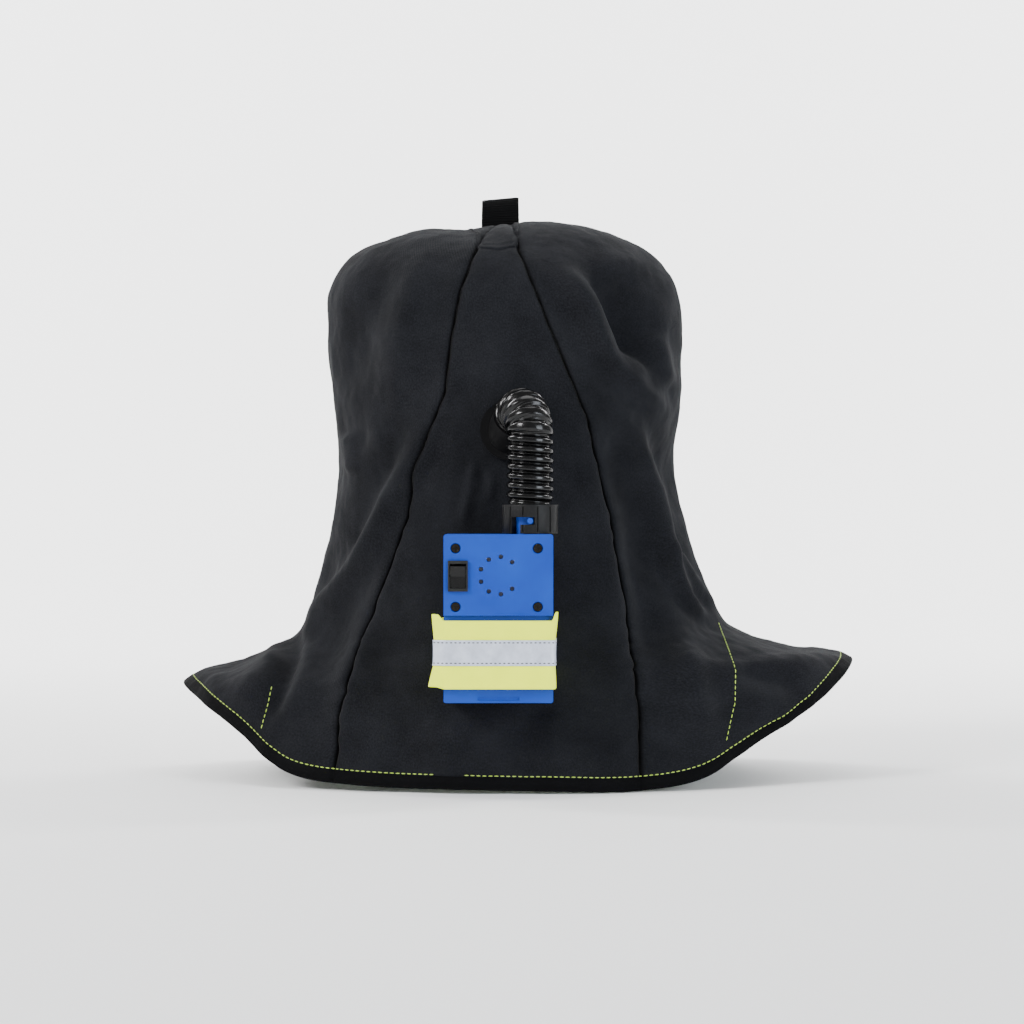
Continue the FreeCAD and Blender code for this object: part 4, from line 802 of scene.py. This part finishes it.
def cloth_line(tree, route, side=-1):
    """A line of (x, z) points laid on the hood's back (side -1) or front, with the cloth's normals."""
    dense = []
    for (ax, az), (bx, bz) in zip(route[:-1], route[1:]):
        count = max(2, int(math.hypot(bx - ax, bz - az) / 0.0015))
        dense += [(ax + (bx - ax) * k / count, az + (bz - az) * k / count) for k in range(count)]
    dense.append(route[-1])
    points, normals = [], []
    for x, z in dense:
        hit, normal, _, _ = tree.ray_cast(Vector((x, side * 0.4, z)), Vector((0, -side, 0)))
        if hit is None:
            continue
        points.append(hit)
        normals.append(normal if normal.y * side > 0 else -normal)
    return np.array(points), np.array(normals)


def hood_tree(made):
    """A search tree over the hood's outer faces."""
    points, faces = [], []
    for _, (panel, _, _) in made.items():
        first = len(points)
        points += [v.co.copy() for v in panel.data.vertices]
        faces += [tuple(first + i for i in face.vertices) for face in panel.data.polygons]
    return BVHTree.FromPolygons(points, faces)


# Lines of bright topstitching down the two cape seams, (x, z) on the back.
CAPE_STITCHES = [
    [(-0.1655, -0.203), (-0.1685, -0.218), (-0.173, -0.236)],
    [(0.156, -0.160), (0.163, -0.192), (0.162, -0.214), (0.155, -0.242)],
]


# How far the hem's topstitching lies above the edge.
STITCH_LINE = 0.0092


def make_stitches(made, tree, thread):
    """Bright topstitching above the hem and down the cape seams."""
    edge, down, out = hem_line(made)
    above = edge - down * STITCH_LINE
    gap_here = (np.abs(above[:, 0] + 0.038) < 0.008) & (above[:, 1] < 0)
    starts = np.flatnonzero(gap_here)
    order = np.roll(np.arange(len(edge)), -int(starts[-1]) - 1)
    order = order[: len(edge) - len(starts)]
    lines = [(above[order], out[order])]
    for route in CAPE_STITCHES:
        lines.append(cloth_line(tree, route))
        lines.append(cloth_line(tree, route, 1))
    stitches = stitch_mesh("hem_stitches", lines, 0.0027, 0.0014, 0.00036, 0.0003)
    finish_piece(stitches, "hood", thread, "strap_yellow")
    return stitches


# ---------------------------------------------------------------- breathing hose

# Where the hose leaves the elbow (y, z), how steeply it rises, and the radius of its bend.
ELBOW_MOUTH = (-0.131, -0.023)
HOSE_RISE, HOSE_BEND = math.radians(35), 0.018
# The hose's rib spacing, outer radius, rib depth and wall.
HOSE_PITCH, HOSE_RADIUS, HOSE_DEPTH, HOSE_WALL = 0.0064, 0.0162, 0.0026, 0.0011


def hose_route():
    """The hose's middle line, from the elbow over its bend and down to the collar."""
    port = centre_of("port_ring")
    collar_low, collar_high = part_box("hose_collar")
    end = Vector(((collar_low.x + collar_high.x) / 2, (collar_low.y + collar_high.y) / 2,
                  collar_high.z + 0.0004))
    flat = Vector((end.x - port.x, end.y - ELBOW_MOUTH[0], 0))
    reach = flat.length
    flat.normalize()
    rise, bend = HOSE_RISE, HOSE_BEND
    up = Vector((0, 0, 1))
    base = Vector((port.x, *ELBOW_MOUTH))
    bend_along = reach - bend * (1 + math.sin(rise))
    bend_height = bend_along * math.tan(rise)
    middle_height = bend_height - bend * math.cos(rise)
    points = [base + flat * along + up * (along * math.tan(rise)) for along in np.linspace(0.0106,
                                                                                           bend_along, 8)]
    for angle in np.linspace(math.pi / 2 + rise, 0, 60)[1:]:
        away = reach - bend + bend * math.cos(angle)
        points.append(base + flat * away + up * (middle_height + bend * math.sin(angle)))
    lowest = base + flat * reach + up * middle_height
    points += [lowest.lerp(end, k / 30) for k in range(1, 31)]
    return np.array([tuple(p) for p in points])


def make_hose(looks):
    """Ribbed hose: a wire helix under a thin glossy skin, closer on the inside of the bend."""
    line = even_points(hose_route(), 560)
    along = unit(np.gradient(line, axis=0))
    side = unit(np.cross(along, np.array([0.93, 0.31, 0.18])))
    up = np.cross(side, along)
    run = lengths_along(line)
    pitch, radius, depth, around = HOSE_PITCH, HOSE_RADIUS, HOSE_DEPTH, 72
    angles = np.linspace(0, 2 * math.pi, around, endpoint=False)
    phase = run[:, None] / pitch - angles[None, :] / (2 * math.pi)
    ridge = 1 - (0.5 - 0.5 * np.cos(2 * math.pi * phase)) ** 2.2
    ends = smooth(run, 0.0, 0.006) * (1 - smooth(run, run[-1] - 0.005, run[-1]))
    size = radius - depth * (1 - ridge * (0.35 + 0.65 * ends[:, None]))
    outer = line[:, None] + size[..., None] * (np.cos(angles)[None, :, None] * side[:, None]
                                               + np.sin(angles)[None, :, None] * up[:, None])
    hose = new_mesh("ribbed_hose", outer.reshape(-1, 3),
                    grid_faces(len(line), around, closed_columns=True, flip=True))
    thicken(hose, HOSE_WALL)
    finish_piece(hose, "hood", looks["hose_black"], "hose_black", "breathing_hose")
    bend = hose.modifiers.new("round", "SUBSURF")
    bend.levels = bend.render_levels = 1
    return hose


# ---------------------------------------------------------------- strap, tape, loop and pads

STRAP_TOP, STRAP_BOTTOM = -0.1533, -0.1995
TAPE_TOP, TAPE_BOTTOM = -0.1663, -0.1838
STRAP_COUNT, STRAP_ROWS = 230, 36


def strap_route():
    """The strap's way round the unit, seen from above, with its loose fold on the left."""
    low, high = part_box("unit_strap")
    left, right, back, front = low.x + 0.0016, high.x, low.y, high.y
    left_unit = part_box("unit_base")[0].x
    corners = [
        (left + 0.0006, front), (left - 0.0008, front - 0.014), (left - 0.0042, back + 0.012),
        (left - 0.0062, back + 0.0062), (left - 0.0062, back + 0.0034), (left - 0.0030, back + 0.0016),
        (left_unit - 0.0004, back + 0.0010), (left_unit + 0.0030, back), (0.0, back - 0.0004),
        (right - 0.0040, back), (right - 0.0010, back + 0.0010), (right, back + 0.0040), (right, front),
    ]
    line = np.array([(x, y, 0.0) for x, y in corners])
    for _ in range(3):
        cut_low, cut_high = 0.75 * line[:-1] + 0.25 * line[1:], 0.25 * line[:-1] + 0.75 * line[1:]
        line = np.vstack([line[:1], np.stack([cut_low, cut_high], axis=1).reshape(-1, 3), line[-1:]])
    return even_points(line, STRAP_COUNT)


def strap_grid(top, bottom, rows, lift):
    """Points of the strap between two heights, lifted off the unit by a small distance."""
    line = strap_route()
    along = unit(np.gradient(line, axis=0))
    out = np.stack([along[:, 1], -along[:, 0], np.zeros(len(line))], axis=1)
    share = np.linspace(0, 1, len(line))
    on_back = (line[:, 1] < line[:, 1].min() + 0.008)
    left = smooth(-line[:, 0], 0.0405, 0.0455) * smooth(-line[:, 1], 0.165, 0.182)
    right = smooth(line[:, 0], 0.0322, 0.0346) * smooth(-line[:, 1], 0.176, 0.186)
    points = []
    for row in range(rows):
        down = row / (rows - 1)
        height = top + (bottom - top) * down
        strap_share = (height - STRAP_TOP) / (STRAP_BOTTOM - STRAP_TOP)
        upper, lower = max(0.0, 1 - strap_share / 0.28), max(0.0, (strap_share - 0.62) / 0.38)
        z = np.full(len(line), height)
        z += left * (0.0042 * upper + 0.0016 * lower) + right * 0.0058 * upper
        ripple = 0.00035 * np.sin(share * 60 + strap_share * 5) * (1 - on_back * 0.6)
        swell = 0.0022 * left * lower - 0.0010 * left * (1 - upper - lower) + 0.0017 * right * upper
        roll = 0.0004 * math.cos(strap_share * 2 * math.pi)
        place_here = line + out * (lift + ripple + swell + roll)[:, None]
        place_here[:, 2] = z
        points.append(place_here)
    return np.array(points), out, line


def make_strap(looks):
    """Yellow fluorescent strap round the unit with a silver band and its two rows of stitches."""
    points, _, line = strap_grid(STRAP_TOP, STRAP_BOTTOM, STRAP_ROWS, -0.0004)
    run = lengths_along(line)
    rows, count = points.shape[:2]
    uvs = np.stack([np.tile(run, rows), np.repeat(-np.linspace(0, 0.046, rows), count)], axis=1)
    strap = new_mesh("yellow_strap", points.reshape(-1, 3), grid_faces(rows, count, flip=True), uvs)
    thicken(strap, 0.0012)
    finish_piece(strap, "hood", looks["strap_yellow"], "strap_yellow", "unit_strap")

    points, out, line = strap_grid(TAPE_TOP, TAPE_BOTTOM, 20, 0.00035)
    rows = points.shape[0]
    uvs = np.stack([np.tile(run, rows), np.repeat(-np.linspace(0, 0.0175, rows), count)], axis=1)
    tape = new_mesh("silver_tape", points.reshape(-1, 3), grid_faces(rows, count, flip=True), uvs)
    thicken(tape, 0.0004)
    finish_piece(tape, "hood", looks["tape_silver"], "tape_silver", "reflective_tape")

    lines = []
    for row in (2, 17):
        lines.append((points[row], out))
    thread_grey = thread_material("tape_thread", (0.07, 0.075, 0.09))
    stitches = stitch_mesh("tape_stitches", lines, 0.0017, 0.0013, 0.0004, 0.0002)
    finish_piece(stitches, "hood", thread_grey, "tape_silver")
    return strap


def make_loop(looks):
    """The webbing hanging loop: a bight of ribbed tape standing on the crown."""
    low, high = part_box("hanging_loop")
    middle = (low.x + high.x) / 2
    width, height = high.x - low.x - 0.0002, high.z - low.z + 0.0050
    foot = low.z - 0.0080
    half = (high.y - low.y) / 2 - 0.0004
    route = [(-half * 0.62, foot), (-half * 0.95, foot + 0.3 * height),
             (-half * 1.02, foot + 0.72 * height)]
    route += [(-half * math.cos(a), foot + 0.80 * height + 0.33 * height * math.sin(a))
              for a in np.linspace(0.15, math.pi - 0.15, 24)]
    route += [(half * 1.02, foot + 0.72 * height), (half * 0.95, foot + 0.3 * height), (half * 0.62, foot)]
    line = even_points(np.array([(0.0, y, z) for y, z in route]), 150)
    along = unit(np.gradient(line, axis=0))
    out = np.stack([np.zeros(len(line)), -along[:, 2], along[:, 1]], axis=1)
    columns = 40
    run = lengths_along(line)
    points, uvs = [], []
    for here, way, travelled in zip(line, out, run):
        for column in range(columns):
            across = column / (columns - 1) - 0.5
            rib = 0.00013 * math.cos(travelled * 2 * math.pi / 0.0019)
            edge = -0.0005 * smooth(abs(across), 0.44, 0.5)
            lean = 0.0006 * across * math.sin(travelled * 60)
            x = middle + across * width * (1 - 0.02 * math.sin(travelled * 70))
            tilt = 0.0022 * across * (here[2] - foot) / height
            points.append((x, here[1] + way[1] * (rib + edge) + lean,
                           here[2] + way[2] * (rib + edge) + tilt))
            uvs.append((across * width, travelled))
    loop = new_mesh("webbing_loop", points, grid_faces(len(line), columns), uvs)
    thicken(loop, 0.0016)
    finish_piece(loop, "hood", looks["webbing_black"], "webbing_black", "hanging_loop")
    return loop


def make_cushion(name, node, looks, slot, puff=0.0012, square=5.0, quilt=0.012):
    """A stitched pad filling a CAD node's box: rounded edges, a piped seam and quilting dents."""
    low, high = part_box(node)
    middle, half = np.array((low + high) / 2), np.array((high - low) / 2)
    bm = bmesh.new()
    bmesh.ops.create_cube(bm, size=2.0)
    bmesh.ops.subdivide_edges(bm, edges=bm.edges[:], cuts=46, use_grid_fill=True)
    points = np.array([v.co for v in bm.verts])
    faces = [tuple(v.index for v in face.verts) for face in bm.faces]
    bm.free()
    thin = int(np.argmin(half))
    flat_axes = [axis for axis in range(3) if axis != thin]
    rounding = (np.abs(points) ** square).sum(axis=1, keepdims=True) ** (1 / square)
    rounding = 1 + 0.7 * (rounding / np.abs(points).max(axis=1, keepdims=True) - 1)
    shaped = points / rounding * half
    dents = np.ones(len(points))
    for axis in flat_axes:
        dents *= np.cos(shaped[:, axis] * math.pi / quilt) ** 2
    edge = np.max(np.abs(points[:, flat_axes]), axis=1)
    outward = np.sign(points[:, thin]) * smooth(np.abs(points[:, thin]), 0.6, 1.0)
    shaped[:, thin] += outward * (puff * dents - puff) * (1 - smooth(edge, 0.75, 1.0))
    shaped[:, flat_axes] *= (1 + 0.010 * np.exp(-(points[:, thin] / 0.16) ** 2))[:, None]
    pad = face_outward(new_mesh(name, shaped + middle, faces, shaped[:, flat_axes]))
    finish_piece(pad, "hood", looks[slot], slot, node)
    return pad


# The headband's ellipse inside the sweatband: half width, half depth, then the band's thickness and height.
SWEATBAND_SIZE = (0.079, 0.0955, 0.0036, 0.031)
SWEATBAND_TILT, SWEATBAND_HEIGHT = math.radians(18.5), -0.028


def make_sweatband(looks):
    """Terry band inside the front of the headband, wavy with its seams."""
    tilt = SWEATBAND_TILT
    half_width, half_depth, thick, tall = SWEATBAND_SIZE
    angles = np.linspace(math.asin(0.42), math.pi - math.asin(0.42), 180)
    section = [(0.5 * math.cos(a) * abs(math.cos(a)) ** -0.3, 0.5 * math.sin(a) * abs(math.sin(a)) ** -0.5)
               for a in np.linspace(0.01, 2 * math.pi + 0.01, 28, endpoint=False)]
    points, uvs = [], []
    for angle in angles:
        out = unit(np.array([math.cos(angle) / half_width, math.sin(angle) / half_depth, 0.0]))
        ridge = 1 + 0.10 * math.cos(angle * 44)
        for thickness_share, height_share in section:
            at = np.array([half_width * math.cos(angle), half_depth * math.sin(angle), 0.0])
            at = at - out * (thick / 2) + out * thickness_share * thick * ridge
            at[2] = SWEATBAND_HEIGHT + at[1] * math.tan(tilt) + height_share * tall / math.cos(tilt)
            points.append(at)
            uvs.append((angle * 0.09, height_share * tall))
    band = new_mesh("terry_sweatband", points, grid_faces(len(angles), len(section), closed_columns=True),
                    uvs)
    face_outward(band)
    finish_piece(band, "hood", looks["sweat_cloth"], "sweat_cloth", "sweatband")


def make_crown(tree, looks):
    """The crown strip: a narrow piece sewn over the top between the two back seams."""
    low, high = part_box("hood_crown_panel")
    columns, rows = 46, 120
    points, uvs = [], []
    across = np.linspace(low.x, high.x, columns)
    along = np.linspace(low.y - 0.001, high.y - 0.004, rows)
    centre_x = (low.x + high.x) / 2
    for row, y in enumerate(along):
        end = abs(row / (rows - 1) - 0.5) * 2
        round_end = math.sqrt(max(0.0, 1 - smooth(end, 0.86, 1.0) ** 2 * 0.35))
        for x in across:
            wider = 0.007 * float(smooth(y, low.y + 0.02, low.y + 0.06) * smooth(-y, -high.y + 0.02,
                                                                                 -high.y + 0.06))
            here_x = centre_x + (x - centre_x) * round_end - wider * (high.x - x) / (high.x - low.x)
            sag = 0.0032 * (1 - ((x - centre_x) / (high.x - centre_x)) ** 2) * max(0.0, 1 - row / 12)
            hit, normal, _, _ = tree.ray_cast(Vector((here_x, y - sag, 0.3)), Vector((0, 0, -1)))
            normal = normal if normal.z > 0 else -normal
            rim = min(abs(x - low.x), abs(high.x - x), (1 - end) * (high.y - low.y) / 2)
            lift = 0.0004 + 0.0007 * smooth(rim, 0.0,
                                            0.002) - 0.0006 * math.exp(-((rim - 0.0036) / 0.0010) ** 2)
            points.append(hit + normal * lift)
            uvs.append((here_x, y))
    crown = new_mesh("hood_crown", points, grid_faces(rows, columns), uvs)
    thicken(crown, 0.0020)
    finish_piece(crown, "hood", looks["hood_cloth"], "hood_cloth", "hood_crown_panel")


def make_crown_straps(looks):
    """The two webbing straps of the head harness, crossing inside the cap."""
    for label, turn, top in (("crown_strap_left", 35, 0.095), ("crown_strap_right", -35, 0.0925)):
        reach, foot, width = 0.1008, 0.008, 0.0196
        centre = (top**2 - foot**2 - reach**2) / (2 * (top - foot))
        radius = top - centre
        spread_angle = math.asin(min(1.0, reach / radius))
        start = spread_angle if foot > centre else math.pi - spread_angle
        angles = np.linspace(-start, start, 140)
        points, uvs = [], []
        turned = math.radians(turn)
        for angle in angles:
            rib = 0.00012 * math.cos(angle * radius * 2 * math.pi / 0.0021)
            for share in np.linspace(-0.5, 0.5, 18):
                away = radius - 0.0001 + rib - 0.0004 * smooth(abs(share), 0.42, 0.5)
                x, y, z = away * math.sin(angle), share * width, centre + away * math.cos(angle)
                points.append((x * math.cos(turned) - y * math.sin(turned),
                               x * math.sin(turned) + y * math.cos(turned), z))
                uvs.append((share * width, angle * radius))
        strap = new_mesh(label + "_webbing", points, grid_faces(len(angles), 18, flip=True), uvs)
        thicken(strap, 0.0013)
        finish_piece(strap, "hood", looks["webbing_black"], "webbing_black", label)


# ---------------------------------------------------------------- stage, light and camera

def make_stage():
    """A plain pale floor that curves up behind."""
    material, tree, shader = start_material("pale_floor", 0.85)
    where = place(tree, cloth=False)
    shader.inputs["Base Color"].default_value = (0.93, 0.93, 0.93, 1)
    relief(tree, shader, (speckle(tree, where, 2.0), 0.03, 0.2))
    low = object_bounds()[0].z - 0.0005
    profile = [(-6.0, low), (2.2, low)]
    profile += [(2.2 + 1.2 * math.sin(a), low + 1.2 * (1 - math.cos(a))) for a in np.linspace(0.1,
                                                                                              math.pi / 2,
                                                                                              12)]
    profile.append((3.4, low + 6.0))
    points = [(x, y, z) for y, z in profile for x in (-7.0, 7.0)]
    floor = new_mesh("floor", points, grid_faces(len(profile), 2, flip=True))
    floor.data.materials.append(material)


def add_light(name, place_at, aim, size, power, color=(1, 1, 1)):
    """A soft square lamp."""
    lamp = bpy.data.lights.new(name, "AREA")
    lamp.size = size
    lamp.energy = power
    lamp.color = color
    holder = bpy.data.objects.new(name, lamp)
    holder.location = place_at
    holder.rotation_mode = "QUATERNION"
    holder.rotation_quaternion = (Vector(aim) - Vector(place_at)).to_track_quat("-Z", "Y")
    bpy.context.scene.collection.objects.link(holder)


def make_light_and_camera():
    """A bright even studio, and the camera level with the blower unit's outlet."""
    world = bpy.data.worlds.new("studio")
    world.use_nodes = True
    background = world.node_tree.nodes["Background"]
    background.inputs["Color"].default_value = (1, 1, 1, 1)
    background.inputs["Strength"].default_value = 0.55
    bpy.context.scene.world = world
    add_light("key", (-1.8, -1.5, 1.3), (0, 0, -0.06), 0.9, 78)
    add_light("fill", (1.7, -1.7, 0.3), (0, 0, -0.12), 1.2, 48, (0.86, 0.93, 1.0))
    add_light("top", (0.1, 0.2, 1.9), (0, 0, -0.05), 1.3, 14)
    add_light("wall_left", (-2.0, 1.3, 1.9), (-0.6, 3.4, 0.6), 1.5, 170)
    add_light("wall_right", (2.0, 1.3, 1.9), (0.6, 3.4, 0.6), 1.5, 170)
    camera = bpy.data.cameras.new("camera")
    camera.lens = 94.4
    camera.sensor_width = 36.0
    holder = bpy.data.objects.new("camera", camera)
    holder.location = (0.0052, -2.0, -0.080)
    holder.rotation_euler = (math.pi / 2, 0, 0)
    bpy.context.scene.collection.objects.link(holder)
    bpy.context.scene.camera = holder


# Moulded nodes whose edges show, and the radius of their edges.
SOFT_EDGES = {
    "fan_cover": 0.0006, "battery_cover": 0.0006, "unit_base": 0.0006, "switch_body": 0.0004,
    "switch_rocker": 0.0005, "hose_collar": 0.0004, "cover_screws": 0.0002, "port_flange": 0.0005,
    "window_frame": 0.0006,
}


def paint_cad(looks):
    """Give every CAD node that stays its slot's material, and soften its moulded edges."""
    slots = {item["node"]: item["material_slot"] for item in frame["record"]["subparts"]}
    for name, thing in NODES.items():
        thing.data.materials.clear()
        thing.data.materials.append(looks[slots[name]])
    for name, radius in SOFT_EDGES.items():
        weld = NODES[name].modifiers.new("weld", "WELD")
        weld.merge_threshold = 0.00002
        edge = NODES[name].modifiers.new("edge", "BEVEL")
        edge.width = radius
        edge.segments = 2
        edge.limit_method = "ANGLE"
        edge.angle_limit = math.radians(35)


looks = make_looks()
thread = thread_material("stitch_thread", (0.50, 0.72, 0.08))
make_light_and_camera()
paint_cad(looks)
made = make_hood(looks)
tree = hood_tree(made)
hem = make_hem(made, looks)
make_stitches(made, tree, thread)
make_hose(looks)
make_strap(looks)
make_crown(tree, looks)
make_loop(looks)
make_cushion("foam_back_pad", "unit_pad", looks, "pad_foam")
make_cushion("nape_cushion", "nape_pad", looks, "sweat_cloth")
make_sweatband(looks)
make_crown_straps(looks)
make_stage()
